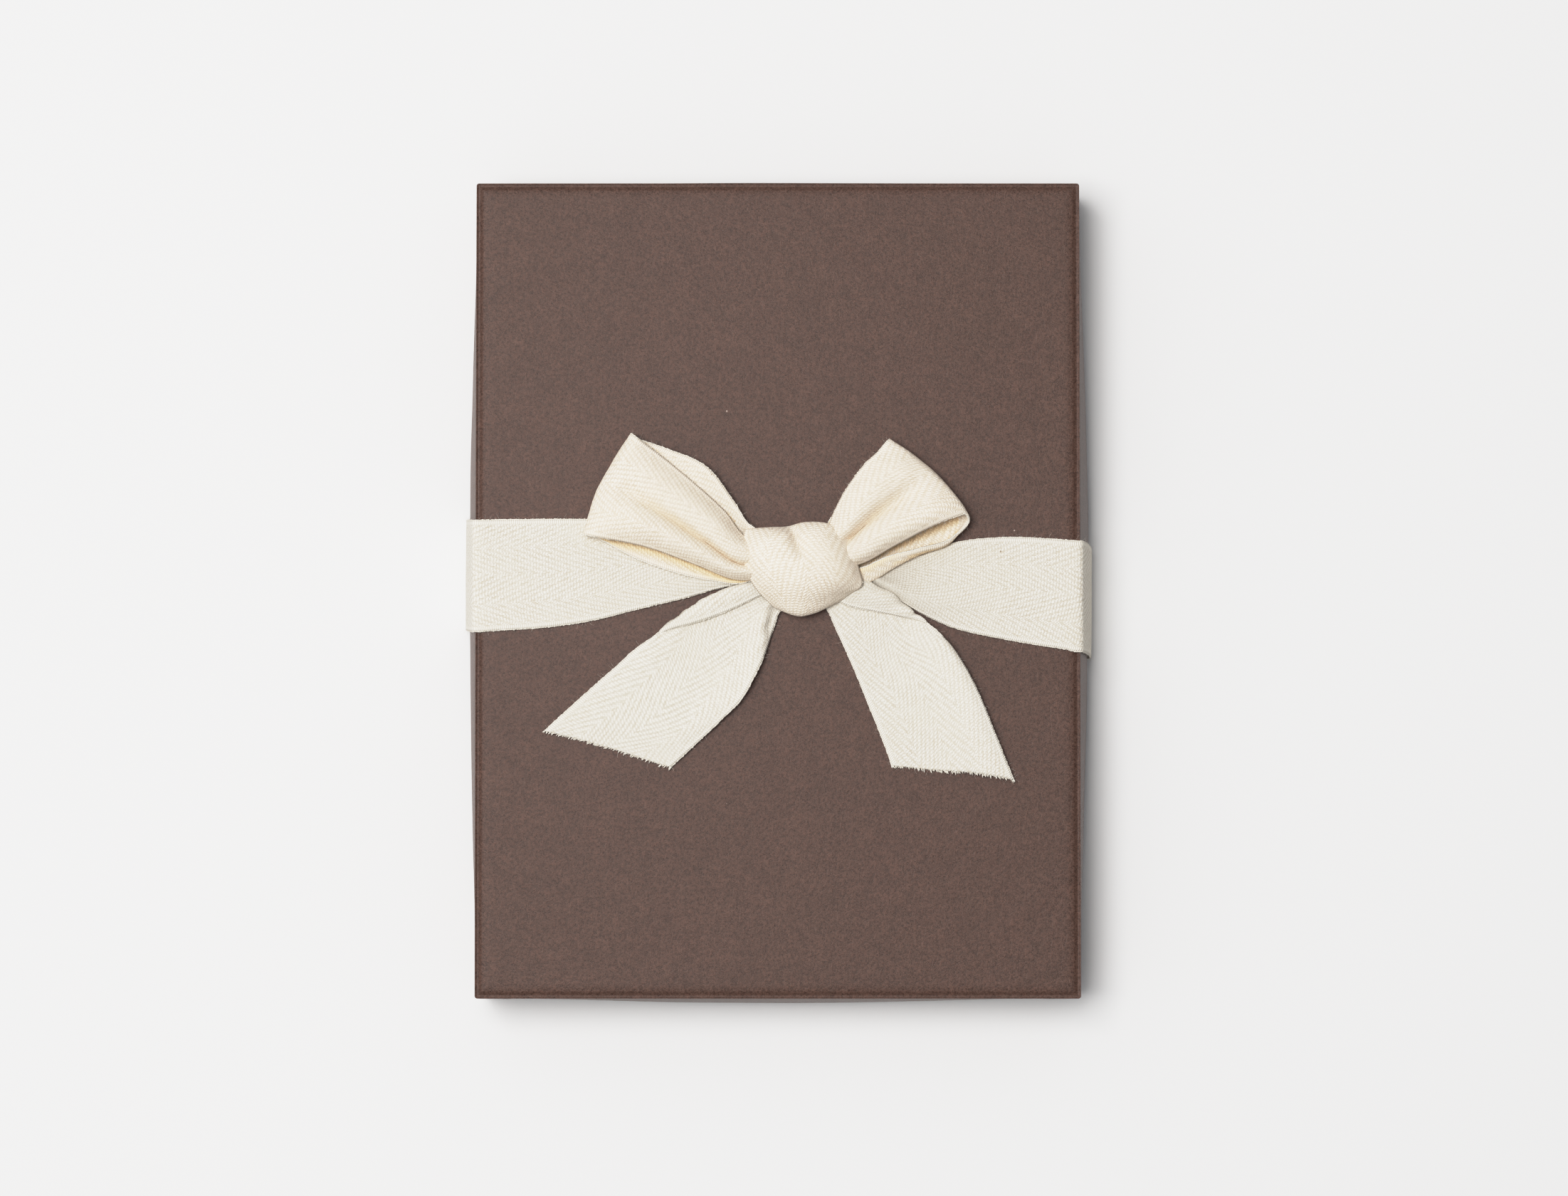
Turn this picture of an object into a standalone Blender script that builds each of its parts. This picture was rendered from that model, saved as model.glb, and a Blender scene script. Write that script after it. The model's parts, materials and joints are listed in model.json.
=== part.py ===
"""Rigid gift box with a lift-off lid, tied across its width with a cotton tape and a flat bow.

The origin is on the floor under the middle of the box. +X runs across the box, +Y along it, +Z up.
The tray stands on the floor. The lid and the tape hang from one empty at the lid's top face, which
lies on the line that the lid slides along.
"""
import math

import bmesh
import bpy
from mathutils import Vector

# Driving dimensions, in metres
LID_WIDTH = 0.1375        # outside, across the top edge, along X
LID_LENGTH = 0.1855       # outside, across the top edge, along Y
CLOSED_HEIGHT = 0.025     # floor to the lid's top face
RIM_ABOVE_FLOOR = 0.003   # the lid's rim stays this far above the floor, for a grip and the tape
BOARD = 0.0012            # greyboard
PAPER = 0.00018           # covering paper and lining
STAY = 0.00012            # gummed paper round the corners of the board
STAY_LEG = 0.010          # how far a stay reaches along each wall
STAY_MARGIN = 0.002       # a stay ends this far from the panel and from the rim
GLUE_GAP = 0.00008        # between pasted layers
LID_CLEARANCE = 0.0006    # between the tray's wrap and the lid's lining, each side
SEAT_GAP = 0.0003         # between the tray's rim and the lid's lining
TURN_IN = 0.012           # how far the wrap is turned in over a rim
LINING_REVEAL = 0.004     # the lining stops this far from a rim
EDGE_BAND = 0.0014        # width of the pressed band round the lid's top panel
EDGE_DROP = 0.00062       # the top edge lies this far below the panel
BOW_LONG = 0.0026         # how far the lid's long walls bow out at the rim
BOW_SHORT = 0.0020        # how far its short walls bow out
TAPE_WIDTH = 0.0254       # one-inch herringbone tape
TAPE_THICK = 0.0006
TAPE_GAP = 0.0003         # between the tape and what it lies on
TAPE_TUCK = 0.007         # how far the tape is turned up inside the rim

# The bow is drawn in millimetres from the middle of the lid's top face, for a tape of this width and
# thickness. Its plan follows the tape's width, and its heights follow the tape's thickness.
DRAWN_WIDTH = 25.4
DRAWN_THICK = 0.6
KNOT_CENTRE = (5.2, 4.6)
KNOT_RADII = (13.4, 10.3, 4.6)

# Sizes that follow from them
LID_DEPTH = CLOSED_HEIGHT - RIM_ABOVE_FLOOR
BOARD_INSET = PAPER + GLUE_GAP + STAY + GLUE_GAP
STAY_INSET = PAPER + GLUE_GAP
PANEL_LINING_INSET = BOARD_INSET + BOARD + GLUE_GAP
TURN_INSET = BOARD_INSET + BOARD + GLUE_GAP + PAPER
WALL_LINING_INSET = TURN_INSET + GLUE_GAP
WALL_STACK = WALL_LINING_INSET + PAPER
RIM_INSET = PAPER + GLUE_GAP
LID_HALF = (LID_WIDTH / 2, LID_LENGTH / 2)
TRAY_HALF = (LID_HALF[0] - WALL_STACK - LID_CLEARANCE, LID_HALF[1] - WALL_STACK - LID_CLEARANCE)
TRAY_HEIGHT = CLOSED_HEIGHT - PANEL_LINING_INSET - PAPER - SEAT_GAP
TAPE_LIFT = TAPE_GAP + TAPE_THICK / 2

# Where the lid's walls are divided so that every pasted layer follows the same bowed facets
LONG_PANELS = 8
SHORT_PANELS = 6
BAND_STEPS = ((0.25, 0.16), (0.46, 0.38), (0.29, 0.46))   # shares of the band's width and rise
BOW_POWER = 1.8
TOUCH = 0.00001           # two coordinates closer than this are the same

COLOURS = {
    "wrap_paper": ((0.162, 0.105, 0.091, 1.0), 0.85),
    "greyboard": ((0.305, 0.283, 0.255, 1.0), 0.95),
    "lining_paper": ((0.807, 0.761, 0.672, 1.0), 0.9),
    "stay_paper": ((0.55, 0.44, 0.30, 1.0), 0.9),
    "cotton_tape": ((0.823, 0.783, 0.708, 1.0), 0.95),
}


def clear_scene():
    """Remove the objects that are in the scene, and make the part's collection."""
    for old in list(bpy.data.objects):
        bpy.data.objects.remove(old, do_unlink=True)
    collection = bpy.data.collections.new("gift_box")
    bpy.context.scene.collection.children.link(collection)
    return collection


def node_material(node, finish):
    """A material of its own for one sub-part."""
    colour, roughness = COLOURS[finish]
    material = bpy.data.materials.new(node + "_" + finish)
    material.use_nodes = True
    shader = material.node_tree.nodes["Principled BSDF"]
    shader.inputs["Base Color"].default_value = colour
    shader.inputs["Roughness"].default_value = roughness
    shader.inputs["Metallic"].default_value = 0.0
    material.diffuse_color = colour
    return material


def add_object(node, bm, finish, collection, parent=None):
    """Turn a bmesh into the named object of one sub-part."""
    mesh = bpy.data.meshes.new(node)
    bm.to_mesh(mesh)
    bm.free()
    mesh.materials.append(node_material(node, finish))
    obj = bpy.data.objects.new(node, mesh)
    collection.objects.link(obj)
    if parent is not None:
        obj.parent = parent
    return obj


def thicken(obj, thickness, offset=-1.0):
    """Give an open sheet its thickness; offset -1 keeps the modelled face on the outside."""
    solidify = obj.modifiers.new("thickness", "SOLIDIFY")
    solidify.thickness = thickness
    solidify.offset = offset
    solidify.use_even_offset = True
    solidify.use_quality_normals = True


# ---------------------------------------------------------------- folded boxes

def cut_lines(half, panels):
    """Places across a wall where a folded sheet is divided: the stays' ends and equal steps between."""
    end = half - STAY_LEG
    return [-end + 2 * end * i / panels for i in range(panels + 1)]


def folded_box(half, depth, wall_dir, cuts=((), (), ())):
    """An open sheet: a panel at z = 0 and four walls that stand along wall_dir, divided at the cuts."""
    bm = bmesh.new()
    bmesh.ops.create_cube(bm, size=1.0)
    bmesh.ops.scale(bm, vec=(2 * half[0], 2 * half[1], depth), verts=bm.verts)
    bmesh.ops.translate(bm, vec=(0, 0, wall_dir * depth / 2), verts=bm.verts)
    mouth = [f for f in bm.faces if abs(f.calc_center_median().z - wall_dir * depth) < TOUCH]
    bmesh.ops.delete(bm, geom=mouth, context="FACES_ONLY")
    for axis, places in enumerate(cuts):
        normal = [0.0, 0.0, 0.0]
        normal[axis] = 1.0
        for place in places:
            point = [0.0, 0.0, 0.0]
            point[axis] = place
            everything = list(bm.verts) + list(bm.edges) + list(bm.faces)
            bmesh.ops.bisect_plane(bm, geom=everything, dist=TOUCH / 10, plane_co=point, plane_no=normal)
    panel = [f for f in bm.faces if abs(f.calc_center_median().z) < TOUCH]
    if len(panel) > 1:
        bmesh.ops.dissolve_faces(bm, faces=panel)
    bmesh.ops.recalc_face_normals(bm, faces=bm.faces)
    return bm


def press_band(bm, steps):
    """Raise the panel inside a narrow band, in steps of (width, rise) from the top edge inward."""
    panel = max(bm.faces, key=lambda f: f.calc_area())
    for width, rise in steps:
        bmesh.ops.inset_region(bm, faces=[panel], thickness=width, use_even_offset=True)
        bmesh.ops.translate(bm, vec=(0, 0, rise), verts=panel.verts)


def extrude_rim(bm, rim_verts, move):
    """Extrude the open rim and place each new point with move(point)."""
    rim = [e for e in bm.edges if e.is_boundary and all(v in rim_verts for v in e.verts)]
    made = bmesh.ops.extrude_edge_only(bm, edges=rim)["geom"]
    new_verts = [g for g in made if isinstance(g, bmesh.types.BMVert)]
    for vert in new_verts:
        vert.co = move(vert.co)
    return new_verts


def turn_in(bm, half, rim_z, levels):
    """Turn a sheet in over the rim and run it back along the inside of the board to the levels."""
    def step_inward(co):
        x = co.x
        y = co.y
        if abs(abs(x) - half[0]) < TOUCH:
            x = math.copysign(half[0] - TURN_INSET, x)
        if abs(abs(y) - half[1]) < TOUCH:
            y = math.copysign(half[1] - TURN_INSET, y)
        return Vector((x, y, co.z))

    rim = [v for v in bm.verts if abs(v.co.z - rim_z) < TOUCH]
    rim = extrude_rim(bm, rim, step_inward)
    for level in levels:
        rim = extrude_rim(bm, rim, lambda co, z=level: Vector((co.x, co.y, z)))


def wall_bow(along, half_along, depth, full):
    """How far a lid wall bows out, at a place along it and at a depth below the panel."""
    fall = min(max((depth - EDGE_DROP) / (LID_DEPTH - EDGE_DROP), 0.0), 1.0)
    across = max(1.0 - (along / half_along) ** 2, 0.0)
    return full * across * (1.0 - (1.0 - fall) ** BOW_POWER)


def bow_walls(bm, half):
    """Push the four walls of one lid layer outward by the same law, so that the layers stay parallel."""
    for vert in bm.verts:
        x, y, z = vert.co
        if abs(x) > half[0] - WALL_STACK - TOUCH:
            vert.co.x += math.copysign(wall_bow(y, LID_HALF[1], -z, BOW_LONG), x)
        if abs(y) > half[1] - WALL_STACK - TOUCH:
            vert.co.y += math.copysign(wall_bow(x, LID_HALF[0], -z, BOW_SHORT), y)


def drop(bm, distance):
    """Move a lid layer down, below the layer that covers it."""
    bmesh.ops.translate(bm, vec=(0, 0, -distance), verts=bm.verts)


def inset_half(half, inset):
    """Half sizes of a layer that lies inset from the outside."""
    return (half[0] - inset, half[1] - inset)


def keep_corner(bm, sign_x, sign_y, reach, z_low, z_high):
    """Keep only the wall faces next to one upright corner."""
    def outside(face):
        centre = face.calc_center_median()
        near = centre.x * sign_x > reach[0] and centre.y * sign_y > reach[1]
        return not (near and z_low < centre.z < z_high)

    bmesh.ops.delete(bm, geom=[f for f in bm.faces if outside(f)], context="FACES")


# ---------------------------------------------------------------- lid

def lid_levels():
    """Depths below the lid's panel at which its walls are divided."""
    turn_end = LID_DEPTH - TURN_IN
    lining_end = LID_DEPTH - LINING_REVEAL
    stay_end = LID_DEPTH - STAY_MARGIN
    upper = (STAY_MARGIN + turn_end) / 2
    lower = (turn_end + lining_end) / 2
    return [STAY_MARGIN, upper, turn_end, lower, lining_end, stay_end]


def lid_cuts(inset_z):
    """Cut lines of a lid layer that starts inset_z below the panel."""
    levels = [inset_z - level for level in lid_levels()]
    return (cut_lines(LID_HALF[0], SHORT_PANELS), cut_lines(LID_HALF[1], LONG_PANELS), levels)


def make_lid_wrap(collection, lid):
    """Covering paper: panel, pressed band, bowed walls and the turn-in over the rim."""
    bm = folded_box(LID_HALF, LID_DEPTH - EDGE_DROP, -1, lid_cuts(EDGE_DROP))
    drop(bm, EDGE_DROP)
    press_band(bm, [(EDGE_BAND * w, EDGE_DROP * r) for w, r in BAND_STEPS])
    turn_end = LID_DEPTH - TURN_IN
    levels = [-level for level in reversed(lid_levels()) if level > turn_end - TOUCH]
    turn_in(bm, LID_HALF, -LID_DEPTH, levels)
    bow_walls(bm, LID_HALF)
    wrap = add_object("lid_wrap", bm, "wrap_paper", collection, lid)
    thicken(wrap, PAPER)


def make_lid_board(collection, lid):
    """The lid's greyboard: one scored blank with a shallow slope round the panel."""
    half = inset_half(LID_HALF, BOARD_INSET)
    top = BOARD_INSET + EDGE_DROP
    bm = folded_box(half, LID_DEPTH - RIM_INSET - top, -1, lid_cuts(top))
    drop(bm, top)
    press_band(bm, [(EDGE_BAND, EDGE_DROP)])
    bow_walls(bm, half)
    board = add_object("lid_board", bm, "greyboard", collection, lid)
    thicken(board, BOARD)


def make_lid_lining(collection, lid):
    """Plain paper inside the lid, down to a little above the rim, following the slope round the panel."""
    half = inset_half(LID_HALF, WALL_LINING_INSET)
    top = PANEL_LINING_INSET + EDGE_DROP / 2
    depth = LID_DEPTH - LINING_REVEAL - top
    across, along, levels = lid_cuts(top)
    levels = [z for z in levels if TOUCH - depth < z < -TOUCH]
    bm = folded_box(half, depth, -1, (across, along, levels))
    drop(bm, top)
    press_band(bm, [(EDGE_BAND / 2, EDGE_DROP / 2)])
    bow_walls(bm, half)
    lining = add_object("lid_lining", bm, "lining_paper", collection, lid)
    thicken(lining, PAPER)


def make_lid_stays(collection, lid):
    """Four gummed paper stays over the upright corners of the lid's board."""
    half = inset_half(LID_HALF, STAY_INSET)
    top = STAY_INSET + EDGE_DROP
    reach = (LID_HALF[0] - STAY_LEG, LID_HALF[1] - STAY_LEG)
    for end, sign_y in (("front", -1), ("rear", 1)):
        for side, sign_x in (("left", -1), ("right", 1)):
            bm = folded_box(half, LID_DEPTH - RIM_INSET - top, -1, lid_cuts(top))
            drop(bm, top)
            keep_corner(bm, sign_x, sign_y, reach, STAY_MARGIN - LID_DEPTH, -STAY_MARGIN)
            bow_walls(bm, half)
            stay = add_object("lid_corner_stay_%s_%s" % (end, side), bm, "stay_paper", collection, lid)
            thicken(stay, STAY)


# ---------------------------------------------------------------- tray

def make_tray_wrap(collection):
    """Covering paper under the tray's floor, up its walls and turned in over the rim."""
    bm = folded_box(TRAY_HALF, TRAY_HEIGHT, 1)
    turn_in(bm, TRAY_HALF, TRAY_HEIGHT, [TRAY_HEIGHT - TURN_IN])
    wrap = add_object("base_wrap", bm, "wrap_paper", collection)
    thicken(wrap, PAPER)


def make_tray_board(collection):
    """The tray's greyboard: floor and walls of one scored blank."""
    bm = folded_box(inset_half(TRAY_HALF, BOARD_INSET), TRAY_HEIGHT - RIM_INSET - BOARD_INSET, 1)
    board = add_object("base_board", bm, "greyboard", collection)
    board.location.z = BOARD_INSET
    thicken(board, BOARD)


def make_tray_lining(collection):
    """Plain paper on the tray's floor and up its walls."""
    half = inset_half(TRAY_HALF, WALL_LINING_INSET)
    bm = folded_box(half, TRAY_HEIGHT - LINING_REVEAL - PANEL_LINING_INSET, 1)
    lining = add_object("base_lining", bm, "lining_paper", collection)
    lining.location.z = PANEL_LINING_INSET
    thicken(lining, PAPER)


def make_tray_stays(collection):
    """Four gummed paper stays over the upright corners of the tray's board."""
    half = inset_half(TRAY_HALF, STAY_INSET)
    reach = (TRAY_HALF[0] - STAY_LEG, TRAY_HALF[1] - STAY_LEG)
    cuts = ((-reach[0], reach[0]), (-reach[1], reach[1]), (STAY_MARGIN, TRAY_HEIGHT - STAY_MARGIN))
    for end, sign_y in (("front", -1), ("rear", 1)):
        for side, sign_x in (("left", -1), ("right", 1)):
            bm = folded_box(half, TRAY_HEIGHT, 1, cuts)
            keep_corner(bm, sign_x, sign_y, reach, STAY_MARGIN, TRAY_HEIGHT - STAY_MARGIN)
            stay = add_object("base_corner_stay_%s_%s" % (end, side), bm, "stay_paper", collection)
            thicken(stay, STAY)


# ---------------------------------------------------------------- tape

def smooth_between(points, share):
    """A point at a share (0 to 1) of the way along a smooth curve through the points."""
    last = len(points) - 1
    place = min(max(share, 0.0), 1.0) * last
    i = min(int(place), last - 1)
    t = place - i
    p0 = Vector(points[max(i - 1, 0)])
    p1 = Vector(points[i])
    p2 = Vector(points[i + 1])
    p3 = Vector(points[min(i + 2, last)])
    slope1 = (p2 - p0) / 2
    slope2 = (p3 - p1) / 2
    if i == 0:
        slope1 = p2 - p1
    if i == last - 1:
        slope2 = p2 - p1
    a = 2 * t ** 3 - 3 * t ** 2 + 1
    b = t ** 3 - 2 * t ** 2 + t
    c = -2 * t ** 3 + 3 * t ** 2
    d = t ** 3 - t ** 2
    return p1 * a + slope1 * b + p2 * c + slope2 * d


def make_ribbon(node, place, along, across, collection, lid):
    """A strip of tape: a grid whose points are put where place(share along, share across) says."""
    bm = bmesh.new()
    bmesh.ops.create_grid(bm, x_segments=along, y_segments=across, size=0.5)
    for vert in bm.verts:
        vert.co = place(vert.co.x + 0.5, vert.co.y + 0.5)
    ribbon = add_object(node, bm, "cotton_tape", collection, lid)
    thicken(ribbon, TAPE_THICK, offset=0.0)


def to_plan(value):
    """A plan measure drawn in millimetres, as metres on this tape."""
    return value * TAPE_WIDTH / DRAWN_WIDTH


def to_height(value):
    """A height drawn in millimetres, as metres on this tape."""
    return value * TAPE_THICK / DRAWN_THICK


def drawn(sections):
    """Drawn (x, y, z, x, y, z) sections of a strip, as metres."""
    scale = (to_plan, to_plan, to_height) * 2
    return [tuple(measure(value) for measure, value in zip(scale, section)) for section in sections]


def band_path(side, y_at, run):
    """The tape's route in one lengthwise lane, over the top edge, down the wall and in under the rim.

    run goes from 0 at the panel's edge to 1 at the tape's hidden end."""
    wall_x = LID_HALF[0]
    inside = WALL_STACK + TAPE_LIFT

    def out(depth):
        return wall_x + wall_bow(y_at, LID_HALF[1], depth, BOW_LONG)

    rim = LID_DEPTH
    corner = 0.6 * TAPE_LIFT
    route = [
        (wall_x - EDGE_BAND, TAPE_LIFT),
        (wall_x - EDGE_BAND / 2, TAPE_LIFT * 0.95),
        (wall_x + corner, TAPE_LIFT * 0.4),
        (out(EDGE_DROP) + TAPE_LIFT, -EDGE_DROP),
    ]
    steps = 5
    for i in range(1, steps):
        depth = EDGE_DROP + (rim - EDGE_DROP) * i / steps
        route.append((out(depth) + TAPE_LIFT, -depth))
    route.append((out(rim) + TAPE_LIFT, -rim + TAPE_LIFT * 0.4))
    route.append((out(rim) + corner, -rim - TAPE_LIFT))
    route.append((out(rim) - WALL_STACK - corner, -rim - TAPE_LIFT))
    route.append((out(rim) - inside, -rim + TAPE_LIFT * 0.4))
    for i in (1, 2):
        depth = rim - TAPE_TUCK * i / 2
        route.append((out(depth) - inside, -depth))
    last = len(route) - 1
    place = min(run * last, last - 1e-9)
    i = int(place)
    t = place - i
    x = route[i][0] * (1 - t) + route[i + 1][0] * t
    z = route[i][1] * (1 - t) + route[i + 1][1] * t
    return Vector((side * x, y_at, z)), last


def make_band(node, side, near, edge_y, collection, lid):
    """One side of the tape: across the panel from the knot, over the edge and tucked under the rim.

    near holds drawn (x, low y, high y) places from the knot outward, and edge_y is the height on the
    drawing of the tape's lower edge where it reaches the edge of the panel."""
    edge_x = side * (LID_HALF[0] - EDGE_BAND)
    lower = [(to_plan(x), to_plan(low)) for x, low, high in near]
    upper = [(to_plan(x), to_plan(high)) for x, low, high in near]
    lower.append((edge_x, to_plan(edge_y)))
    upper.append((edge_x, to_plan(edge_y) + TAPE_WIDTH))
    on_panel = 8
    over_edge = band_path(side, 0.0, 0.0)[1]
    segments = on_panel + over_edge

    def place(along, across):
        step = along * segments
        if step <= on_panel:
            share = step / on_panel
            low = smooth_between(lower, share)
            high = smooth_between(upper, share)
            point = low.lerp(high, across)
            return Vector((point.x, point.y, TAPE_LIFT))
        y_at = lower[-1][1] + (upper[-1][1] - lower[-1][1]) * across
        return band_path(side, y_at, (step - on_panel) / over_edge)[0]

    make_ribbon(node, place, segments, 4, collection, lid)


def make_strip(node, sections, collection, lid):
    """A loop or a tail of the bow, lofted through drawn sections from the knot outward.

    Each section is (x, y, z, x, y, z): the strip's two edges. A loop comes back to the knot."""
    edges = drawn(sections)
    first = [edge[:3] for edge in edges]
    second = [edge[3:] for edge in edges]

    def place(along, across):
        return smooth_between(first, along).lerp(smooth_between(second, along), across)

    make_ribbon(node, place, 2 * (len(sections) - 1), 5, collection, lid)


def make_knot(collection, lid):
    """The gathered turn of tape round the middle of the bow, as one soft rounded solid."""
    radii = (to_plan(KNOT_RADII[0]), to_plan(KNOT_RADII[1]), to_height(KNOT_RADII[2]))
    bm = bmesh.new()
    bmesh.ops.create_uvsphere(bm, u_segments=20, v_segments=12, radius=1.0)
    bmesh.ops.scale(bm, vec=radii, verts=bm.verts)
    knot = add_object("bow_knot", bm, "cotton_tape", collection, lid)
    knot.location = (to_plan(KNOT_CENTRE[0]), to_plan(KNOT_CENTRE[1]), radii[2] + TAPE_GAP)
    knot.data.shade_smooth()


def make_tape(collection, lid):
    """The tape, in stretches that meet with a small gap: two bands, two loops, two tails, the knot."""
    make_band("tape_band_left", -1,
              [(-9.5, 2.4, 9.5), (-21.8, -1.8, 14.2), (-36.0, -5.9, 16.0), (-50.0, -8.0, 16.2)],
              -9.4, collection, lid)
    make_band("tape_band_right", 1,
              [(20.5, 2.6, 6.0), (29.9, -4.6, 7.4), (41.0, -8.8, 11.2), (52.0, -11.2, 12.2)],
              -13.9, collection, lid)
    make_strip("bow_loop_left", [
        (-9.2, 4.0, 2.4, -8.9, 13.5, 2.4), (-20.0, 8.0, 1.8, -15.5, 24.5, 1.9),
        (-31.0, 11.5, 1.7, -26.0, 31.0, 1.8), (-41.3, 13.0, 1.9, -32.2, 34.6, 1.9),
        (-43.4, 13.2, 3.3, -33.4, 35.3, 3.2), (-41.3, 12.8, 4.8, -32.2, 34.0, 4.5),
        (-31.0, 10.2, 6.2, -25.0, 28.5, 5.6), (-20.0, 6.4, 7.0, -15.0, 20.5, 6.4),
        (-9.4, 2.0, 5.8, -8.8, 10.8, 5.8)], collection, lid)
    make_strip("bow_loop_right", [
        (19.6, 3.0, 2.2, 14.6, 14.6, 2.2), (31.5, 8.8, 1.8, 18.3, 22.5, 1.9),
        (38.5, 11.6, 1.7, 21.0, 28.5, 1.8), (42.2, 14.2, 1.9, 24.3, 32.6, 1.9),
        (43.6, 16.3, 3.7, 25.4, 33.9, 3.4), (42.0, 16.2, 5.6, 24.6, 33.0, 5.0),
        (36.0, 13.6, 6.4, 21.0, 28.8, 6.0), (27.0, 10.2, 6.6, 18.0, 23.0, 6.3),
        (19.4, 6.4, 5.6, 14.2, 15.4, 5.8)], collection, lid)
    make_strip("bow_tail_left", [
        (-9.6, -0.6, 0.9, 0.8, -6.6, 0.9), (-20.0, -4.4, 0.8, -2.4, -16.0, 0.9),
        (-30.7, -12.1, 0.7, -6.6, -23.4, 0.9), (-41.8, -22.0, 0.7, -15.6, -31.9, 0.9),
        (-53.0, -32.3, 0.7, -24.5, -40.1, 0.7)], collection, lid)
    make_strip("bow_tail_right", [
        (11.4, -6.4, 0.9, 20.4, -0.6, 0.9), (16.5, -17.5, 0.8, 30.3, -7.6, 1.2),
        (21.0, -26.4, 0.8, 37.6, -14.6, 2.2), (23.8, -33.4, 0.8, 45.2, -26.0, 2.6),
        (26.3, -40.1, 0.8, 53.4, -43.3, 1.2)], collection, lid)
    make_knot(collection, lid)


def main():
    collection = clear_scene()
    make_tray_board(collection)
    make_tray_stays(collection)
    make_tray_wrap(collection)
    make_tray_lining(collection)
    lid = bpy.data.objects.new("lid_slide", None)
    lid.empty_display_size = CLOSED_HEIGHT
    lid.location = (0, 0, CLOSED_HEIGHT)
    collection.objects.link(lid)
    make_lid_board(collection, lid)
    make_lid_stays(collection, lid)
    make_lid_wrap(collection, lid)
    make_lid_lining(collection, lid)
    make_tape(collection, lid)


main()
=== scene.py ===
# %% [markdown]
# # A paper-covered gift box tied with cotton tape
# The box is a shallow tray with a lift-off lid, both folded from greyboard and covered with a brown
# fibre paper. A one-inch herringbone cotton tape runs across the lid and ends in a flat bow. The packed
# model gives the box its sizes; this script makes the surfaces that a hand would feel: pressed paper edges,
# bowed walls, folded cloth, selvage, cut yarn ends and fuzz.

# %% Load the model
import json
import math

import bmesh
import bpy
import numpy as np
from mathutils import Euler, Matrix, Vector, noise


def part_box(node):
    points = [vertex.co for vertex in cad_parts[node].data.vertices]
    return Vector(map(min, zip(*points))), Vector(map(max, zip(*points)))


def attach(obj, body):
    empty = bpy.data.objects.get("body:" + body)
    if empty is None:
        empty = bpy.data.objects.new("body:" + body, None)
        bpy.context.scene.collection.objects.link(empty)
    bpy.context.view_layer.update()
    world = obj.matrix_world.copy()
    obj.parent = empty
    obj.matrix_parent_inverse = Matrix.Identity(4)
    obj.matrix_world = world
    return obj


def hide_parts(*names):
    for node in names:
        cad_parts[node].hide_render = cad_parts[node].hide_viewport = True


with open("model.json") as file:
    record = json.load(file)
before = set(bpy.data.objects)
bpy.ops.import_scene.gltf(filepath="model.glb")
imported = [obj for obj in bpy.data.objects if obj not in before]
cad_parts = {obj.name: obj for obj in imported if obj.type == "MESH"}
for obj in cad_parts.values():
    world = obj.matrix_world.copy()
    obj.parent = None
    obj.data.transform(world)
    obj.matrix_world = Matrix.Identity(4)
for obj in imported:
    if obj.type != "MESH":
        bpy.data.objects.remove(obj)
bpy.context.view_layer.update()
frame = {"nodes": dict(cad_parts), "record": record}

MM = 0.001
LID_LOW, LID_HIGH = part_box("lid_wrap")
TRAY_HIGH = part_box("base_wrap")[1]
TOP = LID_HIGH.z
RIM = LID_LOW.z


def clamp(value):
    """The value, held between 0 and 1."""
    return min(max(value, 0.0), 1.0)


def add_object(name, data):
    """A new object in the scene."""
    made = bpy.data.objects.new(name, data)
    bpy.context.scene.collection.objects.link(made)
    return made


print("lid top", round(TOP, 4), "rim", round(RIM, 4), "tray", [round(c, 4) for c in TRAY_HIGH])

# %% [markdown]
# ## Table, light and camera
# The box is seen from straight above on a white table. One wide soft light hangs to the upper left, close
# to overhead, so the shadows are short and fall to the lower right. A weak white surround fills them; it
# is a little stronger on the left and the far side.

# %% Table, light and camera
VIEW_CENTRE = Vector((0.0014, -0.0019, TOP))
VIEW_DISTANCE = 0.990
VIEW_TILT = math.radians(2.0)
LENS = 100.0
SENSOR = 36.0
TABLE_SIZE = 8.0
TABLE_COLOUR = (0.86, 0.86, 0.862, 1.0)
SOFTBOX_PLACE = Vector((-0.275, 0.10, 1.24))
SOFTBOX_SIZE = (0.55, 0.52)
SOFTBOX_POWER = 12.35
SOFTBOX_COLOUR = (1.0, 0.985, 0.965)
SURROUND = 0.355  # strength of the white surround overhead
SURROUND_LEAN = (-0.21, 0.05, 0.0)  # how it grows towards the left and the far side
SURROUND_COLOUR = (0.985, 0.99, 1.0, 1.0)
FILM_CURVE = ((0.20, 0.20), (0.40, 0.46), (0.60, 0.705), (0.75, 0.815), (0.88, 0.875))
FILM_WHITE = 0.905


def make_stage():
    """A plain pale table, far larger than the view."""
    bpy.ops.mesh.primitive_plane_add(size=TABLE_SIZE, location=(0, 0, 0))
    floor = bpy.context.object
    floor.name = "table"
    material = bpy.data.materials.new("white_table")
    material.use_nodes = True
    shader = material.node_tree.nodes["Principled BSDF"]
    shader.inputs["Base Color"].default_value = TABLE_COLOUR
    shader.inputs["Roughness"].default_value = 0.9
    shader.inputs["Specular IOR Level"].default_value = 0.2
    floor.data.materials.append(material)


def make_softbox():
    """A soft overhead light at the upper left that looks at the box."""
    data = bpy.data.lights.new("softbox", "AREA")
    data.shape = "RECTANGLE"
    data.size, data.size_y = SOFTBOX_SIZE
    data.energy = SOFTBOX_POWER
    data.color = SOFTBOX_COLOUR
    light = add_object("softbox", data)
    light.location = SOFTBOX_PLACE
    light.rotation_euler = (-SOFTBOX_PLACE).to_track_quat("-Z", "Y").to_euler()


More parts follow.
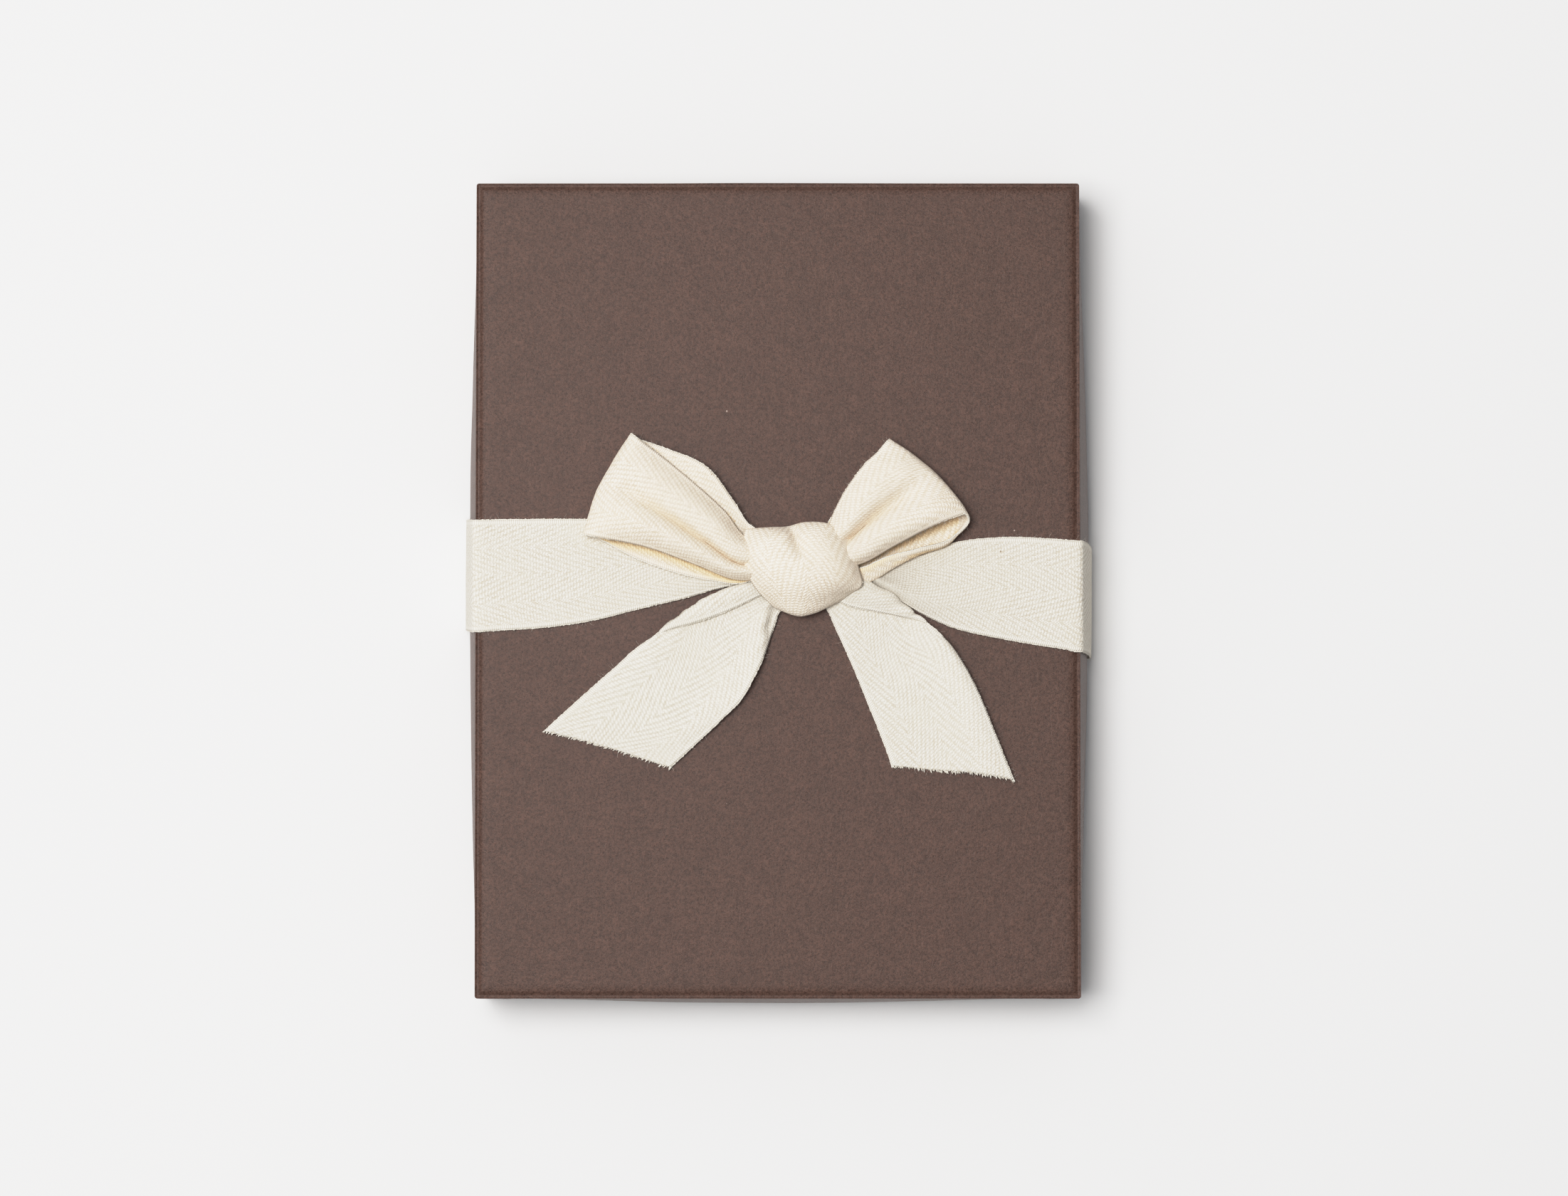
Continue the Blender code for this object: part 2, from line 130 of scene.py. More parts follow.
def make_surround():
    """A white world that fades from the left and the far side."""
    world = bpy.data.worlds.new("surround")
    world.use_nodes = True
    nodes = world.node_tree.nodes
    links = world.node_tree.links
    back = nodes["Background"]
    back.inputs["Color"].default_value = SURROUND_COLOUR
    place = nodes.new("ShaderNodeTexCoord")
    lean = nodes.new("ShaderNodeVectorMath")
    lean.operation = "DOT_PRODUCT"
    lean.inputs[1].default_value = SURROUND_LEAN
    strength = nodes.new("ShaderNodeMath")
    strength.operation = "ADD"
    strength.use_clamp = True
    strength.inputs[1].default_value = SURROUND
    links.new(place.outputs["Generated"], lean.inputs[0])
    links.new(lean.outputs["Value"], strength.inputs[0])
    links.new(strength.outputs[0], back.inputs["Strength"])
    bpy.context.scene.world = world


def make_film():
    """The soft shoulder of a camera: middle tones rise a little and near-whites draw together."""
    view = bpy.context.scene.view_settings
    view.view_transform = "Standard"
    view.use_curve_mapping = True
    curve = view.curve_mapping.curves[3]
    for x, y in FILM_CURVE:
        curve.points.new(x, y)
    curve.points[-1].location = (1.0, FILM_WHITE)
    view.curve_mapping.update()


def make_camera():
    """A long lens above the box, leaning two degrees towards the near short side."""
    data = bpy.data.cameras.new("camera")
    data.lens = LENS
    data.sensor_width = SENSOR
    data.clip_end = 20.0
    camera = add_object("camera", data)
    towards = Vector((0, -math.sin(VIEW_TILT), math.cos(VIEW_TILT)))
    camera.location = VIEW_CENTRE + VIEW_DISTANCE * towards
    camera.rotation_euler = Euler((VIEW_TILT, 0, 0))
    bpy.context.scene.camera = camera


make_stage()
make_softbox()
make_surround()
make_film()
make_camera()
print("camera at", [round(c, 3) for c in bpy.context.scene.camera.location])

# %% [markdown]
# ## A small helper for shader nodes
# Every finish here is a pattern built from nodes. The helper adds a node, sets its inputs and links
# sockets in one call, so that a pattern reads like a formula.

# %% Shader helper


class Pattern:
    """The node tree of one material."""

    def __init__(self, name):
        self.material = bpy.data.materials.new(name)
        self.material.use_nodes = True
        self.tree = self.material.node_tree
        self.shader = self.tree.nodes["Principled BSDF"]
        self.coords = self.add("ShaderNodeTexCoord").outputs["Object"]

    def add(self, kind, inputs=None, **settings):
        node = self.tree.nodes.new(kind)
        for key, value in settings.items():
            setattr(node, key, value)
        for key, value in (inputs or {}).items():
            self.connect(value, node.inputs[key])
        return node

    def connect(self, value, socket):
        if isinstance(value, bpy.types.NodeSocket):
            self.tree.links.new(value, socket)
        else:
            socket.default_value = value

    def math(self, operation, *values):
        node = self.add("ShaderNodeMath", operation=operation)
        for i, value in enumerate(values):
            self.connect(value, node.inputs[i])
        return node.outputs[0]

    def times(self, *values):
        return self.math("MULTIPLY", *values)

    def line(self, value, slope, start):
        """Value times slope plus start."""
        return self.math("MULTIPLY_ADD", value, slope, start)

    def humps(self, value):
        """One smooth hump for every whole step of the value."""
        return self.math("SINE", self.times(self.math("FRACT", value), math.pi))

    def noise(self, scale, detail=2.0, roughness=0.5, coords=None):
        place = self.coords if coords is None else coords
        inputs = {"Vector": place, "Scale": scale, "Detail": detail, "Roughness": roughness}
        return self.add("ShaderNodeTexNoise", inputs).outputs["Fac"]

    def specks(self, scale, channel, rarity, radius):
        """A small round dot in the few cells whose random colour passes the rarity."""
        inputs = {"Vector": self.coords, "Scale": scale}
        cells = self.add("ShaderNodeTexVoronoi", inputs, feature="F1").outputs
        chance = self.add("ShaderNodeSeparateColor", {"Color": cells["Color"]}).outputs[channel]
        dot = self.ramp(cells["Distance"], radius, 0.03)
        return self.times(dot, self.math("GREATER_THAN", chance, rarity))

    def ramp(self, value, low, high):
        inputs = {"Value": value, "From Min": low, "From Max": high}
        return self.add("ShaderNodeMapRange", inputs).outputs["Result"]

    def mix(self, share, first, second, blend="MIX"):
        node = self.add("ShaderNodeMix", data_type="RGBA", blend_type=blend)
        self.connect(share, node.inputs[0])
        self.connect(first, node.inputs[6])
        self.connect(second, node.inputs[7])
        return node.outputs[2]

    def tinge(self, base, mask, share, colour):
        """The base with a share of another colour where the mask is white."""
        return self.mix(self.times(mask, share), base, (*colour, 1.0))

    def stretched(self, scale, turn=0.0):
        """Object coordinates, turned about Z and then stretched."""
        turned = self.add("ShaderNodeMapping", {"Vector": self.coords, "Rotation": (0.0, 0.0, turn)})
        inputs = {"Vector": turned.outputs["Vector"], "Scale": scale}
        return self.add("ShaderNodeMapping", inputs).outputs["Vector"]

    def bump(self, height, distance, strength):
        inputs = {"Height": height, "Distance": distance, "Strength": strength}
        return self.add("ShaderNodeBump", inputs).outputs["Normal"]

    def finish(self, colour, normal, roughness, specular, sheen=0.0, sheen_roughness=0.5):
        self.connect(colour, self.shader.inputs["Base Color"])
        self.connect(normal, self.shader.inputs["Normal"])
        self.connect(roughness, self.shader.inputs["Roughness"])
        self.shader.inputs["Specular IOR Level"].default_value = specular
        self.shader.inputs["Sheen Weight"].default_value = sheen
        self.shader.inputs["Sheen Roughness"].default_value = sheen_roughness
        return self.material


# %% [markdown]
# ## Brown fibre paper
# The covering is an uncoated paper with fine lighter fibres in it. Clouds of colour come from soft noise,
# dark pores and a paler tooth from finer ones, the fibres from three stretched noises at different angles,
# of which only the narrow peaks show, and a few pale specks from small cells. Grain and fibres also make a
# very small bump.

# %% Brown fibre paper
FIBRE_SETS = ((0.5, 420.0, 3600.0), (1.7, 380.0, 3200.0), (2.7, 450.0, 4200.0))  # turn, along, across


def fibre_paper():
    p = Pattern("brown_fibre_paper")
    clouds = p.noise(260.0, 3.0, 0.6)
    grain = p.noise(1900.0, 4.0, 0.75)
    fine = p.noise(5200.0, 2.0, 0.7)
    tint = p.noise(620.0)
    fibres = 0.0
    for turn, along, across in FIBRE_SETS:
        placed = p.stretched((along, across, 2400.0), turn)
        peak = p.ramp(p.noise(1.0, 1.0, coords=placed), 0.60, 0.74)
        fibres = p.math("MAXIMUM", fibres, peak)
    base = p.mix(p.ramp(clouds, 0.3, 0.7), (0.105, 0.053, 0.039, 1.0), (0.137, 0.071, 0.052, 1.0))
    base = p.tinge(base, p.ramp(tint, 0.35, 0.72), 0.5, (0.086, 0.048, 0.036))
    pores = p.mix(0.90, base, (0.030, 0.011, 0.006, 1.0))
    base = p.mix(p.ramp(grain, 0.37, 0.61), pores, base)
    base = p.tinge(base, p.ramp(fine, 0.42, 0.66), 0.38, (0.215, 0.132, 0.104))
    base = p.tinge(base, fibres, 0.16, (0.25, 0.17, 0.14))
    base = p.tinge(base, p.specks(260.0, 0, 0.965, 0.065), 0.8, (0.50, 0.42, 0.37))
    height = p.line(grain, 0.8, p.times(fibres, 0.12))
    return p.finish(base, p.bump(height, 0.00011, 0.9), p.line(grain, 0.12, 0.37), 0.27, 0.08)


PAPER_FINISH = fibre_paper()
print("paper nodes:", len(PAPER_FINISH.node_tree.nodes))

# %% [markdown]
# ## Greyboard, lining and gummed paper
# The board is made of recycled fibres, so it is flecked with darker and lighter bits and its cut edge
# shows thin layers. The lining is a plain cream sheet. The corner stays are ribbed brown kraft.

# %% Greyboard, lining and gummed paper


def greyboard():
    p = Pattern("recycled_greyboard")
    fleck = p.noise(1.0, 3.0, 0.7, p.stretched((900.0, 500.0, 2200.0)))
    layers = p.noise(1.0, coords=p.stretched((60.0, 60.0, 5200.0)))
    base = p.mix(p.ramp(fleck, 0.3, 0.7), (0.235, 0.218, 0.195, 1.0), (0.355, 0.335, 0.300, 1.0))
    base = p.tinge(base, p.ramp(layers, 0.5, 0.7), 0.35, (0.19, 0.175, 0.155))
    return p.finish(base, p.bump(p.math("ADD", fleck, layers), 0.00008, 0.6), 0.95, 0.25)


def lining_paper():
    p = Pattern("cream_lining_paper")
    pulp = p.noise(900.0, 4.0, 0.6)
    base = p.mix(p.ramp(pulp, 0.3, 0.7), (0.755, 0.700, 0.605, 1.0), (0.815, 0.765, 0.675, 1.0))
    base = p.tinge(base, p.noise(120.0), 0.2, (0.72, 0.66, 0.56))
    return p.finish(base, p.bump(pulp, 0.00004, 0.6), 0.85, 0.3)


def kraft_paper():
    p = Pattern("gummed_kraft_paper")
    pulp = p.noise(1100.0, 3.0, 0.6)
    wave = {"Vector": p.coords, "Scale": 420.0, "Distortion": 0.6}
    ribs = p.add("ShaderNodeTexWave", wave, bands_direction="Z").outputs["Fac"]
    base = p.mix(p.ramp(pulp, 0.3, 0.7), (0.36, 0.245, 0.14, 1.0), (0.46, 0.33, 0.20, 1.0))
    base = p.tinge(base, ribs, 0.15, (0.30, 0.20, 0.11))
    return p.finish(base, p.bump(p.math("ADD", ribs, pulp), 0.00003, 0.6), 0.8, 0.35)


BOARD_FINISH = greyboard()
LINING_FINISH = lining_paper()
KRAFT_FINISH = kraft_paper()
NODE_FINISH = {"greyboard": BOARD_FINISH, "lining_paper": LINING_FINISH, "stay_paper": KRAFT_FINISH}

for row in frame["record"]["subparts"]:
    finish = NODE_FINISH.get(row["material_slot"])
    if finish is not None:
        node = frame["nodes"][row["node"]]
        node.data.materials.clear()
        node.data.materials.append(finish)
print("carried-over nodes finished:", len(NODE_FINISH), "finishes")

# %% [markdown]
# ## Herringbone cotton tape
# The tape is woven. Lengthwise yarns (the ends) pass over two and under two crossing yarns (the picks),
# each end one pick later than its neighbour, which draws slanting lines. Every twenty-one ends the slant
# turns round, which gives four herringbone columns. The pattern follows the cloth, so it reads a UV map
# whose U runs across the tape and whose V runs along it, both in tape widths.

# %% Herringbone cotton tape
TAPE_WIDTH = 0.0254
TAPE_THICK = 0.00066
ENDS = 84.0  # lengthwise yarns across the tape
PICKS = 36.5  # crossing yarns in one tape width of length
COLUMN_ENDS = 21.0
CORD = 0.040  # width of the corded edge, in tape widths
CREAM = (0.90, 0.86, 0.78, 1.0)
# painted shade: the low parts of the weave, and of a loose yarn, are painted darker, as shade between the
# yarns
SHADE_BETWEEN_YARNS = (0.50, 0.43, 0.335, 1.0)
YARN_SHADE = (0.74, 0.68, 0.585, 1.0)
GLOW = (1.02, 0.88, 0.65, 1.0)  # tint of light that came through a layer of cotton
PAINTED_LIFT = (1.115, 1.055, 1.01, 1.0)  # painted light: cloth lying on other cloth, high off the dark lid, is painted brighter and warmer, as if lit more


def herringbone(p, slub):
    """Height of the woven surface from the tape's own map: raised ends, crossing picks, barred selvage."""
    uv = p.add("ShaderNodeUVMap", uv_map="weave").outputs["UV"]
    axes = p.add("ShaderNodeSeparateXYZ", {"Vector": uv}).outputs
    sway = p.times(p.math("SUBTRACT", slub, 0.5), 0.5)
    across = p.line(axes[0], ENDS, p.times(sway, 0.6))
    along = p.line(axes[1], PICKS, sway)
    end = p.math("FLOOR", across)
    column = p.math("FLOOR", p.math("DIVIDE", end, COLUMN_ENDS))
    slant = p.line(p.math("PINGPONG", column, 1.0), 2.0, -1.0)
    phase = p.line(slant, end, along)
    over = p.line(p.math("SINE", p.times(phase, math.pi / 2)), 0.5, 0.5)
    drift = p.add("ShaderNodeTexWhiteNoise", {"W": end}, noise_dimensions="1D").outputs["Value"]
    shifted = p.line(drift, 0.50, along)
    cell = p.add("ShaderNodeCombineXYZ", {0: end, 1: p.math("FLOOR", shifted)}).outputs[0]
    chance = p.add("ShaderNodeTexWhiteNoise", {"Vector": cell}, noise_dimensions="2D").outputs["Value"]
    pick_round = p.humps(shifted)
    height = p.times(over, p.line(pick_round, 0.58, 0.06))
    height = p.line(pick_round, 0.10, height)
    height = p.line(p.humps(across), 0.24, height)
    height = p.line(chance, 0.22, height)
    edge = p.math("SUBTRACT", 0.5, p.math("ABSOLUTE", p.math("SUBTRACT", axes[0], 0.5)))
    cord = p.math("SINE", p.times(p.ramp(edge, 0.0, CORD), math.pi))
    bars = p.humps(p.times(along, 1.5))
    corded = p.times(p.line(bars, 0.46, 0.30), p.line(cord, 0.25, 0.80))
    in_cord = p.math("LESS_THAN", edge, CORD)
    return p.add("ShaderNodeMix", {0: in_cord, 2: height, 3: corded}, data_type="FLOAT").outputs[0]


def cotton(name, woven=True):
    """Undyed cotton, as woven tape or as loose yarn."""
    p = Pattern(name)
    slub = p.noise(420.0, 3.0, 0.6)
    hairy = p.noise(5200.0, 2.0, 0.7)
    height = herringbone(p, slub) if woven else p.noise(2600.0)
    height = p.line(hairy, 0.34, height)
    # painted shade: the colour darkens where the weave or yarn surface lies low
    base = p.mix(p.ramp(height, 0.20, 0.92), SHADE_BETWEEN_YARNS if woven else YARN_SHADE, CREAM)
    base = p.tinge(base, p.ramp(slub, 0.35, 0.75), 0.25, (0.80, 0.765, 0.69))
    base = p.tinge(base, p.ramp(p.noise(90.0), 0.45, 0.7), 0.25, (0.755, 0.705, 0.60))
    base = p.tinge(base, p.specks(230.0, 1, 0.972, 0.070), 0.7, (0.26, 0.16, 0.08))
    # Painted light: the glow value paints warm light under a higher layer, and the stack value paints the
    # loops and knot brighter.
    tints = (("glow", GLOW), ("stack", PAINTED_LIFT)) if woven else ()
    for attribute, tint in tints:
        share = p.add("ShaderNodeAttribute", attribute_name=attribute).outputs["Fac"]
        base = p.mix(share, base, p.mix(1.0, base, tint, "MULTIPLY"))
    return p.finish(base, p.bump(height, 0.00025, 0.8), 0.92, 0.2, 0.12, 0.6)


WEAVE = cotton("herringbone_cotton")
YARN = cotton("loose_cotton_yarn", woven=False)
print("weave nodes:", len(WEAVE.node_tree.nodes))

# %% [markdown]
# ## Covered box walls
# Each cover is one sheet of paper: the panel, its edge, the wall, the rim and the turn-in on the inside.
# Its cross-section is a short profile, and the sheet is that profile carried round the box on rings with
# small round corners. On the lid the section dips into a pressed groove before the edge, and the walls bow
# out between the corners, most at the free rim. Solidify then gives the paper its thickness.

# %% Covered box walls
LID_WIDTH = 0.1375
LID_LENGTH = 0.1855
PAPER = 0.00018
BOW_LONG = (0.00275, 0.00318)  # left and right long walls
BOW_PEAK = (0.0, 0.012)  # where along the wall each is widest
BOW_SHORT = 0.0020
TURN_IN = 0.012
WALL_BUILD = 0.00192  # outer face of the cover to its turned-in face
TAB_REACH = 0.0085  # how far the folded corner tabs reach along the short walls
TAB_STEP = 0.00014  # how far a tab's extra layer of paper stands out
EDGE_ROUND = 0.0004  # depth of the rounded edge over the wall
BOW_EASE = 1.8  # above 1, the wall bows most near its top
WALL_BAND = 0.0026  # points this near an outer face belong to that wall
PASTE_WAVE = 45.0  # waves per metre of the hand-pasted walls
CORNER_STEPS = 4
SMALLEST_RADIUS = 0.00004  # of the rings' corners


def ring_places(half, spacing):
    """Places round a rectangle as (side, share along it) and corner angles, anticlockwise."""
    places = []
    for side in range(4):
        count = int(2 * half[1 - side % 2] / spacing)
        for i in range(count + 1):
            places.append(("side", side, 2 * i / count - 1))
        for i in range(1, CORNER_STEPS):
            places.append(("corner", side, i / CORNER_STEPS))
    return places


def ring_point(place, half, inset, radius):
    """The point of one place on the ring that lies inset from the outer face."""
    kind, side, share = place
    hx = half[0] - inset
    hy = half[1] - inset
    r = max(radius - inset, SMALLEST_RADIUS)
    spans = ((hx, hy), (hy, hx), (hx, hy), (hy, hx))
    out, along = spans[side]
    if kind == "side":
        local = (out, share * (along - r))
    else:
        angle = share * math.pi / 2
        local = (out - r + r * math.cos(angle), along - r + r * math.sin(angle))
    turns = ((1, 0, 0, 1), (0, -1, 1, 0), (-1, 0, 0, -1), (0, 1, -1, 0))
    a, b, c, d = turns[side]
    return Vector((a * local[0] + b * local[1], c * local[0] + d * local[1], 0))


def carry_round(name, half, profile, radius, spacing, shape):
    """A sheet whose cross-section is the profile of (inset, z) points, carried round the box."""
    places = ring_places(half, spacing)
    bm = bmesh.new()
    rings = []
    for inset, z in profile:
        ring = []
        for place in places:
            point = ring_point(place, half, inset, radius)
            point.z = z
            ring.append(bm.verts.new(shape(point)))
        rings.append(ring)
    count = len(places)
    for inner, outer in zip(rings, rings[1:]):
        for i in range(count):
            j = (i + 1) % count
            bm.faces.new((inner[i], outer[i], outer[j], inner[j]))
    panel = bm.faces.new(rings[0])
    bmesh.ops.triangulate(bm, faces=[panel])
    bmesh.ops.recalc_face_normals(bm, faces=bm.faces)
    mesh = bpy.data.meshes.new(name)
    bm.to_mesh(mesh)
    bm.free()
    obj = add_object(name, mesh)
    mesh.materials.append(PAPER_FINISH)
    mesh.shade_smooth()
    mesh.set_sharp_from_angle(angle=math.radians(50))
    solid = obj.modifiers.new("paper", "SOLIDIFY")
    solid.thickness = PAPER
    solid.offset = -1.0
    solid.use_quality_normals = True
    return obj


def ripple(point, size, scale, seed):
    """A small smooth unevenness, as hand-pasted paper has."""
    return size * noise.noise(point * scale + Vector((seed, 0, 0)))


def long_bow(side, y):
    """How far a long wall's rim stands out at y; side is -1 on the left and 1 on the right."""
    which = 1 if side > 0 else 0
    peak = BOW_PEAK[which]
    reach = LID_LENGTH / 2 - math.copysign(peak, y - peak)
    return BOW_LONG[which] * max(1.0 - ((y - peak) / reach) ** 2, 0.0)


def wall_fall(down):
    """Share of the lid's wall above the given depth below the top."""
    return clamp((down - EDGE_ROUND) / (TOP - RIM - EDGE_ROUND))


def wall_lean(fall):
    """Share of its bow that the wall has after this share of its height."""
    return 1.0 - (1.0 - fall) ** BOW_EASE


def lid_shape(point):
    """Bow the lid's walls and add the corner tabs and a little unevenness."""
    half_x = LID_WIDTH / 2
    half_y = LID_LENGTH / 2
    fall = wall_fall(TOP - point.z)
    lean = wall_lean(fall)
    moved = point.copy()
    if abs(point.x) > half_x - WALL_BAND:
        push = long_bow(point.x, point.y) * lean
        push += ripple(point, 0.00022, PASTE_WAVE, 3.0) * lean
        moved.x += math.copysign(push, point.x)
    if abs(point.y) > half_y - WALL_BAND:
        push = BOW_SHORT * max(1.0 - (point.x / half_x) ** 2, 0.0) * lean
        push += ripple(point, 0.00018, PASTE_WAVE, 7.0) * lean
        reach = TAB_REACH - 0.25 * (TOP - point.z)
        tab = abs(point.y) > half_y - 0.0001 and half_x - abs(point.x) < reach and fall > 0.06
        if tab:
            push += TAB_STEP
        moved.y += math.copysign(push, point.y)
    moved.z += ripple(point, 0.00005, 160.0, 1.0)
    return moved


# the panel's pressed groove and outer lip: millimetres in from the wall, and up from the top face
GROOVE = ((6.0, 0.0), (3.6, 0.0), (2.9, -0.02), (2.5, -0.045), (2.1, -0.09), (1.75, -0.14), (1.55, -0.185),
          (1.35, -0.28), (1.15, -0.40), (0.95, -0.52), (0.78, -0.58), (0.62, -0.60), (0.45, -0.57),
          (0.3, -0.49), (0.15, -0.41), (0.05, -0.41), (0.0, -0.50))
WALL_DEPTHS = (0.9, 1.6, 3.0, 5.0, 7.5, 10.5, 13.5, 16.5, 19.0, 20.8, 21.6)


def make_lid_cover():
    """Panel, pressed groove, outer lip, wall, rim and turn-in of the lid's paper."""
    groove = [(inset * MM, rise * MM) for inset, rise in GROOVE]
    wall = [(0.0, -down * MM) for down in WALL_DEPTHS]
    depth = TOP - RIM
    rim = [(0.00004, -depth + 0.0001), (0.00025, -depth), (WALL_BUILD - 0.00025, -depth),
           (WALL_BUILD - 0.00004, -depth + 0.0001)]
    inside = [(WALL_BUILD, -depth + rise) for rise in (0.0004, 0.003, 0.006, 0.009, TURN_IN)]
    profile = [(inset, TOP + z) for inset, z in groove + wall + rim + inside]
    half = (LID_WIDTH / 2, LID_LENGTH / 2)
    cover = carry_round("lid_cover", half, profile, radius=0.0006, spacing=0.0022, shape=lid_shape)
    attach(cover, "lid")
    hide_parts("lid_wrap")
    return cover


def tray_shape(point):
    """The tray's walls are straight; only the paper is a little uneven."""
    moved = point.copy()
    if point.z > 0.001:
        moved.x += math.copysign(abs(ripple(point, 0.00006, 90.0, 2.0)), -point.x)
        moved.y += math.copysign(abs(ripple(point, 0.00006, 90.0, 5.0)), -point.y)
    return moved


def make_tray_cover():
    """Underside, wall, rim and turn-in of the tray's paper."""
    height = TRAY_HIGH.z
    under = [(0.006, 0.0), (0.0006, 0.0), (0.00025, 0.00004), (0.00006, 0.0002), (0.0, 0.0005)]
    wall = [(0.0, z) for z in (0.003, 0.007, 0.012, 0.017, height - 0.0006)]
    rim = [(0.00005, height - 0.00015), (0.0003, height), (WALL_BUILD - 0.0003, height),
           (WALL_BUILD - 0.00005, height - 0.00015)]
    inside = [(WALL_BUILD, height - drop) for drop in (0.0006, 0.004, 0.008, TURN_IN)]
    half = (TRAY_HIGH.x, TRAY_HIGH.y)
    profile = under + wall + rim + inside
    cover = carry_round("tray_cover", half, profile, radius=0.0005, spacing=0.003, shape=tray_shape)
    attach(cover, "tray")
    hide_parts("base_wrap")
    return cover


LID_COVER = make_lid_cover()
TRAY_COVER = make_tray_cover()
print("lid cover faces", len(LID_COVER.data.polygons), "tray cover faces", len(TRAY_COVER.data.polygons))

# %% [markdown]
# ## From rows of points to cloth
# A stretch of tape is a grid. Its shape is drawn as rows of points across the tape. A smooth curve
# runs through the rows both ways. The weave's UV map measures the real distance along each lane of the
# finished cloth, so the picks stay evenly spaced round folds and in gathers.

# %% From rows of points to cloth
ACROSS_STEPS = 40
STEP_ALONG = 0.0005
SOFT_WAVE = 150.0  # waves per metre of the cloth's unevenness
FINE_WAVE = 420.0
FINE_SHARE = 0.4
LAYER_GAP = 0.0010  # cloth this much higher counts as a layer above
FAR_REACH = 0.16  # share of its reach that the warm light has past a far edge
FAR_GLOW = 0.7
CREASE_GLOW = 0.10
CREASE_REACH = 0.0011  # how far into a crease of the upper layer the warm light comes
CLOTHS = {}


def drawn(table):
    """Rows of x,y,z points in millimetres from a table whose rows end with a semicolon."""
    return [[tuple(map(float, point.split(","))) for point in row.split()] for row in table.split(";")]


def through(points, places, wanted):
    """Values on a smooth curve through points, which lie at the given places, at the wanted places."""
    points = np.asarray(points, float)
    places = np.asarray(places, float)
    gaps = np.diff(places)
    shape = (-1,) + (1,) * (points.ndim - 1)
    slopes = np.diff(points, axis=0) / gaps.reshape(shape)
    tangents = np.empty_like(points)
    before = gaps[:-1].reshape(shape)
    after = gaps[1:].reshape(shape)
    tangents[1:-1] = (slopes[:-1] * after + slopes[1:] * before) / (before + after)
    tangents[0] = slopes[0]
    tangents[-1] = slopes[-1]
    index = np.clip(np.searchsorted(places, wanted, side="right") - 1, 0, len(gaps) - 1)
    gap = gaps[index].reshape(shape)
    t = ((wanted - places[index]) / gaps[index]).reshape(shape)
    a = 2 * t ** 3 - 3 * t ** 2 + 1
    b = t ** 3 - 2 * t ** 2 + t
    c = -2 * t ** 3 + 3 * t ** 2
    d = t ** 3 - t ** 2
    near = points[index] * a + tangents[index] * gap * b
    return near + points[index + 1] * c + tangents[index + 1] * gap * d


def cloth_grid(rows):
    """A fine grid of points from drawn rows; rows may have different numbers of points."""
    even = np.linspace(0.0, 1.0, ACROSS_STEPS + 1)
    lanes = []
    for row in rows:
        chords = np.linalg.norm(np.diff(np.array(row), axis=0), axis=1)
        shares = np.concatenate([[0.0], np.cumsum(chords)]) / chords.sum()
        lanes.append(through(row, shares, even))
    lanes = np.array(lanes)
    steps = np.linalg.norm(np.diff(lanes, axis=0), axis=2).mean(axis=1)
    places = np.concatenate([[0.0], np.cumsum(steps)])
    count = int(places[-1] / STEP_ALONG)
    return through(lanes, places, np.linspace(0.0, places[-1], count + 1))


def uneven(grid, seed, size):
    """Small soft waves square to the cloth."""
    du = np.gradient(grid, axis=1)
    dv = np.gradient(grid, axis=0)
    normal = np.cross(du, dv)
    normal /= np.linalg.norm(normal, axis=2, keepdims=True) + 1e-12
    soft = Vector((seed, 0, 0))
    fine = Vector((0, seed, 0))
    offset = np.array([[noise.noise(Vector(p) * SOFT_WAVE + soft) * size
                        + noise.noise(Vector(p) * FINE_WAVE + fine) * size * FINE_SHARE
                        for p in row] for row in grid])
    return grid + normal * offset[:, :, None]


def place_on_lid(rows):
    """Drawn millimetres from the middle of the lid's top face, as places in metres."""
    return [[(x * MM, y * MM, TOP + z * MM) for x, y, z in row] for row in rows]


def make_cloth(name, grid, glow, stack, way):
    """The tape stretch as a mesh with its weave map, and its mean length."""
    rows, lanes = grid.shape[:2]
    steps = np.linalg.norm(np.diff(grid, axis=0), axis=2)
    lengths = np.concatenate([np.zeros((1, lanes)), np.cumsum(steps, axis=0)])
    faces = []
    for i in range(rows - 1):
        for j in range(lanes - 1):
            a = i * lanes + j
            faces.append((a, a + 1, a + lanes + 1, a + lanes))
    mesh = bpy.data.meshes.new(name)
    mesh.from_pydata(grid.reshape(-1, 3).tolist(), [], faces)
    uv = mesh.uv_layers.new(name="weave")
    corners = np.empty(len(mesh.loops), int)
    mesh.loops.foreach_get("vertex_index", corners)
    across = np.tile(np.linspace(0.0, 1.0, lanes), rows)
    along = way * (lengths / TAPE_WIDTH).reshape(-1)
    uv.data.foreach_set("uv", np.stack([across[corners], along[corners]], axis=1).ravel())
    warmth = mesh.attributes.new("glow", "FLOAT", "POINT")
    warmth.data.foreach_set("value", glow.reshape(-1))
    # painted light: the stack value marks the cloth that is painted brighter and warmer
    layers = mesh.attributes.new("stack", "FLOAT", "POINT")
    layers.data.foreach_set("value", np.full(rows * lanes, stack))
    mesh.materials.append(WEAVE)
    mesh.shade_smooth()
    obj = add_object(name, mesh)
    solid = obj.modifiers.new("tape thickness", "SOLIDIFY")
    solid.thickness = TAPE_THICK
    solid.offset = 0.0
    return obj, float(lengths[-1].mean())


